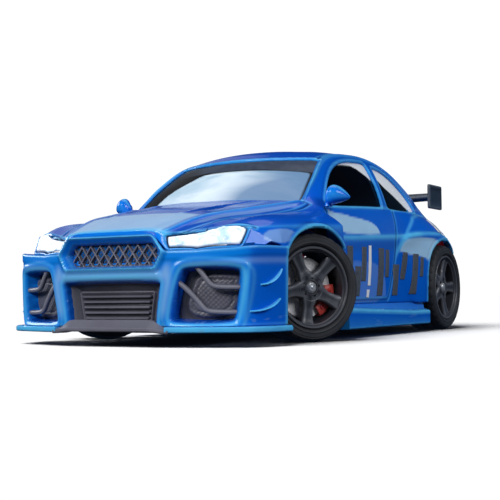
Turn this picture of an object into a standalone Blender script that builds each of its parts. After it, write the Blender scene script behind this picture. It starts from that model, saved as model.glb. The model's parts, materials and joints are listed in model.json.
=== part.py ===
# Remote control drift car, about 1:43 scale.
# Frame: the car's nose points to -Y, its left side to +X, and +Z is up.
# The origin is on the ground, under the middle of the car's length and width.
# Lengths are millimetres; MM turns them into metres. In a (side, sign) pair, sign is the side's X.
import math

import bmesh
import bpy
from mathutils import Matrix, Vector

MM = 0.001
SIDES = (("left", 1), ("right", -1))

# ---- driving dimensions (mm) ----
TYRE_R = 8.7                  # tyre outer radius; the ground is z = 0
TYRE_W = 7.2
RIM_R = 6.6                   # rim seat under the tyre
BARREL_R = 5.8                # inside of the rim barrel
AXLE_Z = TYRE_R
FRONT_Y = -27.2               # kingpin line
REAR_Y = 30.9                 # rear axle line
KINGPIN_X = 18.9
KINGPIN_R = 0.6
FRONT_WHEEL_X = 20.86         # wheel centre plane with the wheels straight
REAR_WHEEL_X = 20.0
STEER_REST = -30.0            # degrees; the car is built steered to its right
TIE_ARM = 3.5                 # kingpin to tie rod pin, straight ahead of the kingpin
TIE_Y = FRONT_Y - TIE_ARM     # tie rod pins with the wheels straight
PIN_R = 0.5                   # tie rod pins
RUN = 0.06                    # radial running clearance
WALL = 1.0                    # moulded wall of the shell
GAP = 0.3                     # assembly gap between the shell and the bumper
# Wheel arches: centre y, half length, height over the axle
ARCH_F = (-28.6, 11.7, 9.4)
ARCH_R = (31.2, 10.9, 9.4)
ARCH_POWER = 2.4              # 2 is an ellipse; more is squarer
WHEEL_STEPS = 24              # facets round a wheel

# ---- scene start ----
for old in list(bpy.data.objects):
    bpy.data.objects.remove(old, do_unlink=True)
scene = bpy.context.scene
parts = bpy.data.collections.new("drift_car")
helpers = bpy.data.collections.new("cutters")
scene.collection.children.link(parts)
scene.collection.children.link(helpers)


# ---- materials ----
def material(name, colour, roughness, metallic=0.0, alpha=1.0):
    mat = bpy.data.materials.new(name)
    mat.use_nodes = True
    inputs = mat.node_tree.nodes["Principled BSDF"].inputs
    inputs["Base Color"].default_value = (*colour, 1)
    inputs["Roughness"].default_value = roughness
    inputs["Metallic"].default_value = metallic
    inputs["Alpha"].default_value = alpha
    return mat


BLUE = material("blue_paint", colour=(0.01, 0.16, 0.62), roughness=0.18)
GREY = material("dark_grey_plastic", colour=(0.035, 0.035, 0.045), roughness=0.5)
BLACK = material("black_plastic", colour=(0.015, 0.015, 0.017), roughness=0.45)
TYRE = material("tyre_compound", colour=(0.02, 0.02, 0.022), roughness=0.7)
RIM = material("rim_plastic", colour=(0.04, 0.04, 0.05), roughness=0.38)
STEEL = material("steel", colour=(0.6, 0.6, 0.62), roughness=0.25, metallic=1.0)
BRASS = material("brass", colour=(0.7, 0.5, 0.2), roughness=0.3, metallic=1.0)
DISC = material("brake_disc", colour=(0.72, 0.72, 0.75), roughness=0.35, metallic=0.8)
RED = material("caliper_red", colour=(0.55, 0.02, 0.015), roughness=0.35)
GLASS = material("smoked_glazing", colour=(0.01, 0.01, 0.012), roughness=0.06, alpha=0.85)
LENS = material("clear_lens", colour=(0.95, 0.97, 1.0), roughness=0.05)
LAMP = material("lamp_white", colour=(0.95, 0.95, 0.92), roughness=0.4)
TAIL = material("tail_lamp_red", colour=(0.6, 0.02, 0.02), roughness=0.15)
BOARD = material("circuit_green", colour=(0.01, 0.18, 0.06), roughness=0.45)
CELL = material("battery_wrap", colour=(0.55, 0.57, 0.6), roughness=0.4)
GEAR = material("white_nylon", colour=(0.75, 0.75, 0.7), roughness=0.45)


# ---- transforms ----
def shift(x=0, y=0, z=0):
    return Matrix.Translation(Vector((x, y, z)) * MM)


def spin(degrees, axis):
    return Matrix.Rotation(math.radians(degrees), 4, axis)


def spin_about(x, y, degrees):
    """A turn about the vertical line at x, y."""
    return shift(x, y) @ spin(degrees, "Z") @ shift(-x, -y)


# Stand an outline drawn in XY up in YZ, or up in XZ
STAND_YZ = Matrix(((0, 0, 1, 0), (1, 0, 0, 0), (0, 1, 0, 0), (0, 0, 0, 1)))
STAND_XZ = Matrix(((1, 0, 0, 0), (0, 0, -1, 0), (0, 1, 0, 0), (0, 0, 0, 1)))
FLIP_X = Matrix.Scale(-1, 4, (1, 0, 0))


def put(obj, matrix):
    """Moves the mesh itself and leaves the origin where it is."""
    obj.data.transform(matrix)
    return obj


# ---- modelling helpers: an object made without a material is a hidden helper ----
def adopt(obj, mat=None):
    """Files obj with the pieces and paints it, or hides it among the helpers."""
    for owner in list(obj.users_collection):
        owner.objects.unlink(obj)
    if mat:
        parts.objects.link(obj)
        obj.data.materials.clear()
        obj.data.materials.append(mat)
    else:
        helpers.objects.link(obj)
        obj.hide_render = True
        obj.display_type = "WIRE"
    return obj


def add_object(name, data, mat=None):
    return adopt(bpy.data.objects.new(name, data), mat)


def weld(mesh, distance=1e-7, drop_loose=False, face_out=False):
    """Merges vertices closer than distance (metres)."""
    bm = bmesh.new()
    bm.from_mesh(mesh)
    if drop_loose:
        loose = [v for v in bm.verts if not v.link_faces]
        bmesh.ops.delete(bm, geom=loose, context="VERTS")
    bmesh.ops.remove_doubles(bm, verts=bm.verts, dist=distance)
    if face_out:
        bmesh.ops.recalc_face_normals(bm, faces=bm.faces)
    bm.to_mesh(mesh)
    bm.free()


def frozen(obj):
    """Replaces obj by its evaluated mesh, under the same name and with the same material."""
    bpy.context.view_layer.update()
    graph = bpy.context.evaluated_depsgraph_get()
    mesh = bpy.data.meshes.new_from_object(obj.evaluated_get(graph))
    weld(mesh)
    name = obj.name
    mat = obj.data.materials[0] if obj.data.materials else None
    bpy.data.objects.remove(obj, do_unlink=True)
    return add_object(name, mesh, mat)


def placed_primitive(name, mat):
    """Takes over the primitive just added, with its transform applied to the mesh."""
    obj = bpy.context.object
    obj.name = name
    put(obj, obj.matrix_basis)
    obj.matrix_basis = Matrix.Identity(4)
    return adopt(obj, mat)


def box(name, corner, opposite, mat=None, bevel=0.0):
    """A box between two opposite corners."""
    low = Vector([min(pair) for pair in zip(corner, opposite)])
    high = Vector([max(pair) for pair in zip(corner, opposite)])
    bpy.ops.mesh.primitive_cube_add(size=1)
    bpy.context.object.location = (low + high) / 2 * MM
    bpy.context.object.scale = (high - low) * MM
    obj = placed_primitive(name, mat)
    if bevel:
        edges = obj.modifiers.new("edges", "BEVEL")
        edges.width = bevel * MM
        edges.segments = 1
        edges.limit_method = "ANGLE"
    return obj


def cyl(name, radius, start, end, mat=None, facets=16, end_radius=None):
    """A cylinder, or a cone if end_radius is given, from start to end."""
    start, end = Vector(start), Vector(end)
    bpy.ops.mesh.primitive_cone_add(
        vertices=facets,
        radius1=radius * MM,
        radius2=(radius if end_radius is None else end_radius) * MM,
        depth=(end - start).length * MM)
    obj = bpy.context.object
    obj.rotation_mode = "QUATERNION"
    obj.rotation_quaternion = (end - start).to_track_quat("Z", "Y")
    obj.location = (start + end) / 2 * MM
    return placed_primitive(name, mat)


def post(name, radius, x, y, z0, z1, mat=None, facets=16):
    """An upright cylinder."""
    return cyl(name, radius, (x, y, z0), (x, y, z1), mat, facets)


def shaft(name, radius, x0, x1, y, z, mat=None, facets=16):
    """A cylinder along X."""
    return cyl(name, radius, (x0, y, z), (x1, y, z), mat, facets)


def turned(name, profile, mat=None, steps=WHEEL_STEPS):
    """A profile of (radius, height) points turned about X: height runs along +X.
    It starts and ends on the axis, or closes on itself."""
    closed = profile[0] == profile[-1]
    points = profile[:-1] if closed else profile
    edges = [(i, i + 1) for i in range(len(points) - 1)]
    if closed:
        edges.append((len(points) - 1, 0))
    mesh = bpy.data.meshes.new(name)
    mesh.from_pydata([(radius * MM, 0, height * MM) for radius, height in points], edges, [])
    obj = add_object(name, mesh, mat)
    screw = obj.modifiers.new("turn", "SCREW")
    screw.axis = "Z"
    screw.steps = screw.render_steps = steps
    screw.use_merge_vertices = True
    screw.merge_threshold = 1e-6
    screw.use_normal_calculate = True
    solid = put(frozen(obj), spin(90, "Y"))
    weld(solid.data, face_out=True)
    return solid


def flat(name, rings, thickness, mat=None):
    """A flat outline in XY, with holes as further rings, centred on z = 0."""
    curve = bpy.data.curves.new(name, "CURVE")
    curve.dimensions = "2D"
    curve.fill_mode = "BOTH"
    curve.extrude = thickness / 2 * MM
    for ring in rings:
        spline = curve.splines.new("POLY")
        spline.points.add(len(ring) - 1)
        for point, (x, y) in zip(spline.points, ring):
            point.co = (x * MM, y * MM, 0, 1)
        spline.use_cyclic_u = True
    return frozen(add_object(name, curve, mat))


def prism(name, outline, y0, y1, mat=None, sign=1):
    """An outline in X and Z, carried from y0 to y1; sign -1 mirrors it in X."""
    bm = bmesh.new()
    face = bm.faces.new([bm.verts.new((sign * x * MM, y0 * MM, z * MM)) for x, z in outline])
    extruded = bmesh.ops.extrude_face_region(bm, geom=[face])
    for item in extruded["geom"]:
        if isinstance(item, bmesh.types.BMVert):
            item.co.y = y1 * MM
    return closed_solid(name, bm, mat)


def loft(name, sections, mat=None):
    """A capped solid through sections with equal counts of (x, y, z) points."""
    bm = bmesh.new()
    rings = [[bm.verts.new((x * MM, y * MM, z * MM)) for x, y, z in points]
             for points in sections]
    count = len(rings[0])
    for a, b in zip(rings, rings[1:]):
        for j in range(count):
            k = (j + 1) % count
            bm.faces.new((a[j], b[j], b[k], a[k]))
    bm.faces.new(rings[0])
    bm.faces.new(rings[-1][::-1])
    return closed_solid(name, bm, mat)


def closed_solid(name, bm, mat):
    bmesh.ops.recalc_face_normals(bm, faces=bm.faces)
    mesh = bpy.data.meshes.new(name)
    bm.to_mesh(mesh)
    bm.free()
    return add_object(name, mesh, mat)


def combine(obj, others, operation):
    for other in others:
        boolean = obj.modifiers.new(operation.lower(), "BOOLEAN")
        boolean.operation = operation
        boolean.object = other
        boolean.solver = "EXACT"


def cut(obj, *others):
    combine(obj, others, "DIFFERENCE")


def join(obj, *others):
    combine(obj, others, "UNION")


def arc(cx, cy, radius, start, end, count):
    """count + 1 points from angle start to angle end, in degrees."""
    angles = [math.radians(start + (end - start) * i / count) for i in range(count + 1)]
    return [(cx + radius * math.cos(a), cy + radius * math.sin(a)) for a in angles]


def circle(cx, cy, radius, count):
    return arc(cx, cy, radius, 0, 360 - 360 / count, count - 1)


def on_side(outline, sign):
    """A left-hand XY outline carried to the given side, wound the same way round."""
    points = [(sign * x, y) for x, y in outline]
    return points if sign > 0 else points[::-1]


def evenly(start, end, count):
    return [start + (end - start) * i / count for i in range(count + 1)]


def grid(name, rows, columns, point, mat=None, skip=lambda row, column: False):
    """A sheet over a surface, with its outside away from the car; skip leaves cells open."""
    verts = [point(row, column) * MM for row in rows for column in columns]
    count = len(columns)
    faces = []
    for i in range(len(rows) - 1):
        for j in range(count - 1):
            if skip((rows[i] + rows[i + 1]) / 2, (columns[j] + columns[j + 1]) / 2):
                continue
            a, b = i * count + j, (i + 1) * count + j
            faces.append((a, b, b + 1, a + 1))
    mesh = bpy.data.meshes.new(name)
    mesh.from_pydata(verts, [], faces)
    weld(mesh, distance=1e-6, drop_loose=True)
    return add_object(name, mesh, mat)


def mirrored(obj):
    mirror = obj.modifiers.new("other_half", "MIRROR")
    mirror.use_axis = (True, False, False)
    mirror.use_clip = True
    mirror.merge_threshold = 1e-5
    return obj


def walled(obj, thickness, offset=-1):
    """Thickens a sheet; offset -1 puts the whole wall inside it."""
    wall = obj.modifiers.new("wall", "SOLIDIFY")
    wall.thickness = thickness * MM
    wall.offset = offset
    wall.use_even_offset = True
    wall.use_quality_normals = True
    return obj


# ================= body surface =================
# Five character lines run from nose to tail on the car's left half. Each row is one station, with
# (x, y, z) on: the lower edge, the waist crease, the shoulder, the rail, and the centre line.
# Over the cabin the rail is the roof edge, and over the bonnet it is the bonnet's crease.
STATIONS = [
    ((22.3, -43.2, 15.1), (19.9, -46.2, 14.8), (14.3, -49.7, 14.6), (9.9, -51.2, 14.7), (0.0, -52.0, 17.0)),
    ((22.8, -42.2, 15.6), (20.2, -44.6, 17.7), (14.6, -48.0, 17.2), (9.0, -50.8, 17.0), (0.0, -51.6, 17.5)),
    ((23.7, -40.5, 15.1), (22.6, -40.0, 18.0), (18.4, -41.0, 19.5), (10.8, -43.5, 19.6), (0.0, -44.0, 20.1)),
    ((24.3, -29.5, 8.0), (24.2, -29.5, 18.4), (20.0, -30.5, 20.8), (13.6, -34.0, 21.3), (0.0, -35.0, 22.0)),
    ((24.5, -20.75, 8.0), (24.4, -20.75, 18.9), (20.3, -21.8, 21.6), (15.7, -27.0, 22.4), (0.0, -28.5, 23.1)),
    ((22.4, -20.35, 5.9), (21.9, -20.35, 17.3), (20.1, -19.4, 22.2), (17.4, -20.8, 23.4), (0.0, -24.6, 23.9)),
    ((22.3, -12.0, 5.9), (21.7, -12.0, 17.5), (19.9, -13.0, 22.8), (16.3, -15.0, 27.9), (0.0, -18.2, 28.9)),
    ((22.3, -4.0, 5.9), (21.7, -4.0, 17.9), (19.8, -5.0, 23.2), (14.9, -8.6, 31.9), (0.0, -10.2, 33.3)),
    ((22.3, 4.0, 5.9), (21.7, 4.0, 18.3), (19.7, 4.0, 23.6), (14.1, 4.0, 33.9), (0.0, 4.0, 35.3)),
    ((22.3, 12.0, 5.9), (21.7, 11.5, 18.7), (19.5, 12.5, 23.9), (13.9, 14.0, 33.8), (0.0, 14.0, 35.1)),
    ((22.7, 20.0, 5.9), (22.1, 19.0, 19.3), (19.2, 21.5, 23.9), (13.8, 23.5, 32.3), (0.0, 23.5, 33.6)),
    ((23.5, 30.0, 8.0), (22.5, 28.5, 19.1), (18.6, 30.5, 23.2), (14.0, 32.5, 29.1), (0.0, 33.0, 30.2)),
    ((22.2, 38.8, 12.1), (20.9, 38.0, 18.6), (17.6, 39.6, 22.2), (14.8, 41.0, 24.4), (0.0, 42.0, 25.0)),
    ((19.9, 44.5, 12.1), (19.0, 44.9, 17.9), (16.7, 46.4, 21.2), (14.3, 48.2, 22.6), (0.0, 50.2, 23.4)),
    ((19.4, 45.8, 12.1), (18.3, 46.6, 13.2), (16.4, 48.6, 13.6), (13.4, 50.4, 13.8), (0.0, 51.9, 14.0)),
]
LAST_STATION = len(STATIONS) - 1
CENTRE_BAND = 4   # band value on the centre line
# For each line, the stations where it turns sharply
CORNERS = [(2, 4, 5), (1, 4, 5, 13), (2, 1, 13), (3, 1, 5, 13), (4, 1, 5, 13)]
CORNERS[2:] = [(1, 13), (1, 5, 13), (1, 5, 13)]
MAX_TANGENT = 1.5  # times the step's length
# Outward bow of each of the lower three bands: (station, bow)
BULGE = [
    [(0, 0.1), (5, 0.25), (10, 0.35), (14, 0.2)],
    [(0, 0.2), (1, 0.3), (3, 0.5), (5, 0.15), (9, 0.2), (11, 0.5), (14, 0.2)],
    [(0, 0.2), (1, -0.1), (3, -0.55), (5, 0.1), (7, 0.5), (9, 0.5), (12, -0.1), (14, 0.2)],
]


def line_point(line, station):
    """Point on a character line: a cubic through the stations, broken at its corners."""
    i = min(int(station), LAST_STATION - 1)
    t = station - i
    near = [Vector(STATIONS[max(0, min(LAST_STATION, i + k))][line]) for k in (-1, 0, 1, 2)]
    before, start, end, after = near
    gaps = [max((near[j + 1] - near[j]).length, 1e-6) for j in range(3)]
    length = gaps[1]

    def tangent(a, b, c, gap_ab, gap_bc):
        slope = (b - a) / gap_ab * gap_bc + (c - b) / gap_bc * gap_ab
        return slope / (gap_ab + gap_bc) * length

    leave = arrive = None
    if i == 0 or i in CORNERS[line]:
        leave = end - start
    else:
        leave = tangent(before, start, end, gaps[0], length)
    if i + 1 == LAST_STATION or i + 1 in CORNERS[line]:
        arrive = end - start
    else:
        arrive = tangent(start, end, after, length, gaps[2])
    # A long step beside a short one would overshoot, so tangents are held to the step's length.
    for slope in (leave, arrive):
        if slope.length > MAX_TANGENT * length:
            slope *= MAX_TANGENT * length / slope.length
    return (start * (2 * t**3 - 3 * t**2 + 1) + leave * (t**3 - 2 * t**2 + t)
            + end * (-2 * t**3 + 3 * t**2) + arrive * (t**3 - t**2))


def ramp(value, table):
    """Straight-line interpolation in a table of (place, value)."""
    for (a, at_a), (b, at_b) in zip(table, table[1:]):
        if value <= b:
            return at_a + (at_b - at_a) * max(0.0, (value - a)) / (b - a)
    return table[-1][1]


def body_point(station, band):
    """Point of the outer surface. band runs 0 to 4, from the lower edge to the centre line."""
    k = min(int(band), 3)
    t = band - k
    a, b = line_point(k, station), line_point(k + 1, station)
    if k == 3:
        rest = 1 - t
        # the nose edge stays level over the grille and drops beside it
        power = 12 - 9.8 * min(1.0, station / 2)
        return Vector((a.x * rest, b.y + (a.y - b.y) * rest * rest,
                       b.z + (a.z - b.z) * rest**power))
    across = b - a
    out = Vector((across.z, 0, -across.x))
    if out.length > 1e-6:
        out.normalize()
    return a.lerp(b, t) + out * ramp(station, BULGE[k]) * 4 * t * (1 - t)


def inset_point(depth):
    """The body surface moved inwards by depth, as a function like body_point."""
    reach = 0.02   # half step of the differences that give the normal

    def moved(station, band):
        u = min(max(station, reach), LAST_STATION - reach)
        v = min(max(band, reach), CENTRE_BAND - reach)
        along = body_point(u + reach, v) - body_point(u - reach, v)
        across = body_point(u, v + reach) - body_point(u, v - reach)
        normal = along.cross(across)
        normal.normalize()
        if band > 3.99:
            normal.x = 0
            normal.normalize()
        outward = 1 if normal.dot(Vector((1, 0, 1))) > 0 else -1
        return body_point(station, band) - normal * depth * outward
    return moved


# ================= shell, glazing and lamps =================
# Openings in surface values
WINDSCREEN = (5.16, 6.86)        # stations
REAR_SCREEN = (9.9, 11.75)
SCREEN_BAND = 3.12               # both screens run from here to the centre line
HEADLAMP = (0.1, 0.9)
HEADLAMP_BANDS = (1.12, 2.9)
TAIL_LAMP = (13.12, 13.55)
TAIL_LAMP_BANDS = (1.2, 2.75)
OPENINGS = [
    (WINDSCREEN, (SCREEN_BAND, CENTRE_BAND)),
    (REAR_SCREEN, (SCREEN_BAND, CENTRE_BAND)),
    (HEADLAMP, HEADLAMP_BANDS),
    (TAIL_LAMP, TAIL_LAMP_BANDS),
]
SHELL_STATIONS = [
    0, HEADLAMP[0], 0.5, HEADLAMP[1], 1, 1.5, 2, 2.5, 3, 3.5, 4, 5,
    WINDSCREEN[0], 6, 6.5, WINDSCREEN[1], 7.4, 8, 8.6, 9.2,
    REAR_SCREEN[0], 10.5, 11.1, REAR_SCREEN[1], 12.3, 13, *TAIL_LAMP, LAST_STATION]
SHELL_BANDS = [
    0, 0.5, 1, HEADLAMP_BANDS[0], 1.5, 2, 2.45, TAIL_LAMP_BANDS[1], HEADLAMP_BANDS[1],
    SCREEN_BAND, 3.3, 3.55, 3.8, CENTRE_BAND]
# Side window outlines: (y, z)
DOOR_GLASS = [
    (-15.4, 23.7), (-11.7, 27.0), (-8.3, 29.4), (-4.7, 31.2), (-0.9, 32.2),
    (4.0, 32.7), (8.6, 32.7), (11.0, 32.2), (8.5, 27.8), (7.1, 24.2)]
QUARTER_GLASS = [
    (9.9, 24.4), (10.6, 28.2), (13.8, 32.3), (16.2, 32.2), (20.0, 31.2),
    (23.0, 29.3), (25.2, 26.8), (25.9, 25.2), (24.6, 24.6)]
CUTTER_W = 90      # side cutters pass through both sides of the car
GLAZING_STATIONS = [5.3, 5.7, 6.2, 6.7, 7.1, 8, 9, 9.6, 10.3, 11, 11.7]
GLAZING_BANDS = [2.06, 2.5, 2.9, 3.1, 3.3, 3.55, 3.8, CENTRE_BAND]
GLAZING_DEPTH = WALL + 0.35
PANE_T = 0.8       # glazing and lamps
# name, material, then (range, gap at each end, steps) along the stations and across the bands
LAMPS = [
    ("headlamp_lens_", LENS, (HEADLAMP, 0.09, 2), (HEADLAMP_BANDS, 0.048, 5)),
    ("tail_lamp_", TAIL, (TAIL_LAMP, 0.035, 1), (TAIL_LAMP_BANDS, 0.075, 4)),
]


def in_opening(station, band):
    return any(stations[0] < station < stations[1] and bands[0] < band < bands[1]
               for stations, bands in OPENINGS)


def side_cutter(name, outline):
    """A (y, z) outline carried right across the car."""
    return put(flat(name, [outline], CUTTER_W), STAND_YZ)


def arch_cutter(name, arch, square_front):
    """A superellipse over the axle, open below the ground; square_front makes its front upright."""
    centre_y, half_length, height = arch
    foot_z = -3
    outline = [(centre_y + half_length, foot_z)]
    for degrees in range(0, 181, 10):
        c, s = math.cos(math.radians(degrees)), math.sin(math.radians(degrees))
        outline.append((
            centre_y + half_length * math.copysign(abs(c) ** (2 / ARCH_POWER), c),
            AXLE_Z + height * s ** (2 / ARCH_POWER)))
    front_y = centre_y - half_length * (0.985 if square_front else 1)
    if square_front:
        outline = [point for point in outline if point[0] > front_y]
        outline.append((front_y, AXLE_Z + height * math.sin(math.radians(170))))
    outline.append((front_y, foot_z))
    return side_cutter(name, outline)


def body_shell():
    shell = grid("body_shell", SHELL_STATIONS, SHELL_BANDS, body_point, BLUE, in_opening)
    shell = frozen(walled(mirrored(shell), WALL))
    cut(shell,
        arch_cutter("cut_front_arch", ARCH_F, True),
        arch_cutter("cut_rear_arch", ARCH_R, False),
        side_cutter("cut_door_glass", DOOR_GLASS),
        side_cutter("cut_quarter_glass", QUARTER_GLASS))


def shell_envelope():
    """The shell with the assembly gap on both sides, to trim the front bumper."""
    stations = [-0.2] + SHELL_STATIONS + [LAST_STATION + 0.2]
    sheet = grid("cut_shell_envelope", stations, [-0.06] + SHELL_BANDS, body_point)
    thickness = WALL + 2 * GAP
    return frozen(walled(mirrored(sheet), thickness, offset=-1 + 2 * GAP / thickness))


def window_glazing():
    """One smoked moulding held just under the shell."""
    point = inset_point(GLAZING_DEPTH)
    pane = grid("window_glazing", GLAZING_STATIONS, GLAZING_BANDS, point, GLASS)
    walled(mirrored(pane), PANE_T)


def lamps(side, sign):
    """Lenses flush in their openings."""
    for name, mat, *spans in LAMPS:
        rows, columns = [evenly(low + gap, high - gap, count)
                         for (low, high), gap, count in spans]
        lens = grid(name + side, rows, columns, body_point, mat)
        if sign < 0:
            put(lens, FLIP_X)
            lens.data.flip_normals()
        walled(lens, PANE_T)


# ================= front bumper =================
BUMPER_T = 1.2
# Bumper face from the centre line to the wheel arch: (x, y, height of the top edge)
FRONT_PLAN = [
    (0.0, -52.0, 16.3), (4.7, -51.95, 16.3), (9.6, -51.6, 14.1), (12.6, -50.9, 13.95),
    (16.0, -49.7, 14.05), (19.2, -48.4, 14.25), (21.2, -47.3, 14.4), (22.2, -46.0, 14.5),
    (22.9, -44.0, 14.6), (23.8, -40.6, 14.75)]
FRONT_LOW = 3.0
FRONT_COLUMNS = [0, 0.5, 1, 1.5, 1.98, 2.02, 3, 4, 5, 6, 7, 8, 9]
# Grille frame, opening and hidden plate, cooler opening and side intake: (x, z)
HEX_OUT = [(-9.6, 14.1), (-7.9, 16.55), (7.9, 16.55), (9.6, 14.1), (8.3, 11.7), (-8.3, 11.7)]
HEX_IN = [(-8.5, 14.1), (-7.1, 15.9), (7.1, 15.9), (8.5, 14.1), (7.6, 12.4), (-7.6, 12.4)]
HEX_BACK = [(-8.6, 14.1), (-7.3, 16.0), (7.3, 16.0), (8.6, 14.1), (7.8, 12.2), (-7.8, 12.2)]
COOLER_CUT = [
    (-8.6, 9.7), (8.6, 9.7), (8.9, 9.3), (7.9, 3.4),
    (7.9, 0), (-7.9, 0), (-7.9, 3.4), (-8.9, 9.3)]
SIDE_CUT = [
    (10.9, 3.9), (19.6, 3.9), (20.2, 4.6), (20.9, 10.4),
    (20.3, 11.1), (13.6, 11.3), (12.6, 10.6), (10.4, 4.6)]
# Splitter blade round the foot of the bumper, left half: (x, y)
SPLITTER = [
    (9.9, -52.6), (13.0, -51.9), (16.6, -50.7), (20.2, -49.3), (22.2, -48.2), (23.4, -46.4),
    (24.1, -44.2), (24.9, -39.6), (23.2, -39.6), (22.9, -42.0), (21.5, -45.6), (18.6, -47.6),
    (12.0, -50.0), (9.4, -50.9)]
# Canards: name, front (y, z), rear (y, z)
CANARDS = [("up", (-45.3, 9.0), (-40.8, 10.9)), ("low", (-46.9, 5.3), (-41.2, 6.6))]


def plan_point(plan, place):
    i = min(int(place), len(plan) - 2)
    return Vector(plan[i]).lerp(Vector(plan[i + 1]), place - i)


def front_face(place, rise):
    """Face of the front bumper; rise runs 0 to 1 from the foot to the top edge."""
    x, y, top = plan_point(FRONT_PLAN, place)
    z = FRONT_LOW + (top - FRONT_LOW) * rise
    bow = 0.35 * math.sin(math.pi * min(1, (z - FRONT_LOW) / 11.5))
    return Vector((x * (1 + 0.012 * (rise - 0.5)), y - bow * (1 - x / 24), z))


def canard(name, front, rear, sign):
    """A curved fin outside the bumper, sloping up to the rear."""
    (y0, z0), (y1, z1) = front, rear
    x0, x1 = 21.2 + (y0 + 47) * 0.2, 22.7
    mid_y = (y0 + y1) / 2
    outline = [(x0, y0), (x0 + 1.9, y0 + 1.0), (x1 + 2.0, mid_y),
               (x1 + 1.2, y1), (x1 - 0.4, y1), (x1 - 1.0, mid_y)]
    fin = flat(name, [on_side(outline, sign)], 0.45)
    slope = math.degrees(math.atan2(z1 - z0, y1 - y0))
    return put(fin, shift(0, y0, z0) @ spin(slope, "X") @ shift(0, -y0, 0))


def front_bumper():
    bumper = grid("front_bumper", FRONT_COLUMNS, [0, 0.25, 0.5, 0.75, 1], front_face, BLUE)
    bumper = frozen(walled(mirrored(bumper), BUMPER_T))
    join(bumper, prism("add_grille_frame", HEX_OUT, -52.7, -51.3))
    for side, sign in SIDES:
        blade = flat("add_splitter_" + side, [on_side(SPLITTER, sign)], 0.9)
        join(bumper, put(blade, shift(0, 0, 2.63)))
    for side, sign in SIDES:
        for name, front, rear in CANARDS:
            join(bumper, canard(f"add_canard_{name}_{side}", front, rear, sign))
    cut(bumper, prism("cut_grille", HEX_IN, -54, -48), prism("cut_cooler", COOLER_CUT, -54, -48))
    for side, sign in SIDES:
        cut(bumper, prism("cut_intake_" + side, SIDE_CUT, -56, -45.2, sign=sign))
    cut(bumper, shell_envelope())


# ---- inserts behind the bumper's openings ----
HEX_SEAT = [
    (-8.2, 14.1), (-6.9, 15.65), (6.9, 15.65), (8.2, 14.1), (7.35, 12.65), (-7.35, 12.65)]
MESH_PITCH = 1.9
LIP = [(-8.7, -53.0), (8.7, -53.0), (9.1, -51.4), (7.2, -49.8), (-7.2, -49.8), (-9.1, -51.4)]
# Plate behind the left side intake: (x, y)
INTAKE_PLAN = [
    (11.4, -49.3), (15.9, -47.9), (20.1, -46.1), (20.1, -45.3), (15.6, -47.1), (11.2, -48.5)]
# Intake fins: inner x, inner z, outer z, front y
INTAKE_FINS = [(14.6, 10.6, 8.6, -49.2), (12.4, 7.9, 5.1, -49.6)]


def mesh_holes():
    """The grille's openings: a row of diamonds between two rows of triangles."""
    rings = []
    z = 14.15
    for i in range(8):
        x = (i - 3.5) * MESH_PITCH
        rings.append([(x - 0.66, z), (x, z + 0.95), (x + 0.66, z), (x, z - 0.95)])
    for i in range(7):
        x = (i - 3) * MESH_PITCH
        rings.append([(x - 0.62, 15.35), (x, 14.5), (x + 0.62, 15.35)])
        rings.append([(x - 0.62, 12.95), (x + 0.62, 12.95), (x, 13.8)])
    return rings


def grille_insert():
    y0, y1 = -51.6, -50.6
    grille = flat("grille_insert", [HEX_SEAT] + mesh_holes(), y1 - y0, GREY)
    put(grille, STAND_XZ)
    put(grille, shift(0, (y0 + y1) / 2, 0))
    # a plate behind the grille, left loose among the hidden helpers
    prism("add_grille_back", HEX_BACK, -50.7, -50.2)


def intercooler_insert():
    """A finned block with the dark lip under it."""
    cooler = box("intercooler_insert", (-7.5, -50.9, 3.6), (7.5, -49.6, 9.3), GREY)
    for i in range(6):
        z = 8.0 - i * 0.72
        half_w = 6.7 - i * 0.16
        join(cooler, box(f"add_fin_{i}", (-half_w, -51.3, z - 0.17), (half_w, -50.8, z + 0.17)))
    join(cooler,
         put(flat("add_lip", [LIP], 0.65), shift(0, 0, 2.35)),
         box("add_lip_web", (-6.9, -51.2, 2.3), (6.9, -49.9, 3.8)))


def intake_insert(side, sign):
    """A plate a little behind the bumper's plan, with two fins."""
    plate = flat("intake_insert_" + side, [on_side(INTAKE_PLAN, sign)], 7.0, GREY)
    put(plate, shift(0, 0, 7.6))
    for k, (x, z, level, y) in enumerate(INTAKE_FINS):
        # each fin comes down across the opening, then runs level to its outer end
        outline = [(x, z), (16.2, level + 0.25), (17.0, level), (19.9, level),
                   (19.9, level - 0.45), (16.8, level - 0.45), (15.9, level - 0.2),
                   (x, z - 0.55)]
        join(plate, prism(f"add_fin_{side}_{k}", outline, y, -46.6, sign=sign))


# ================= rear bumper and diffuser =================
# Same columns as FRONT_PLAN
REAR_PLAN = [
    (0.0, 52.5, 13.55), (6.0, 52.3, 13.5), (10.5, 51.7, 13.4), (14.3, 50.7, 13.2),
    (17.0, 49.3, 12.95), (19.0, 47.3, 11.9), (20.4, 45.2, 11.6), (21.4, 43.4, 11.6),
    (22.2, 42.0, 11.6)]
REAR_LOW = 4.2
DIFFUSER_CUT = [(-12.3, 0), (-12.3, 6.8), (-11.3, 7.8), (11.3, 7.8), (12.3, 6.8), (12.3, 0)]
DIFFUSER = [(-11.9, 3.0), (-11.9, 6.6), (-11.1, 7.4), (11.1, 7.4), (11.9, 6.6), (11.9, 3.0)]
STRAKE_PITCH = 4.2
PIPE_X, PIPE_Z = 9.0, 5.6


def rear_face(place, rise):
    x, y, top = plan_point(REAR_PLAN, place)
    return Vector((x, y - 0.5 * (1 - rise), REAR_LOW + (top - REAR_LOW) * rise))


def rear_bumper():
    bumper = grid("rear_bumper", list(range(len(REAR_PLAN))), [0, 0.5, 1], rear_face, BLUE)
    bumper.data.flip_normals()
    bumper = frozen(walled(mirrored(bumper), BUMPER_T))
    cut(bumper, prism("cut_diffuser", DIFFUSER_CUT, 45, 56))


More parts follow.
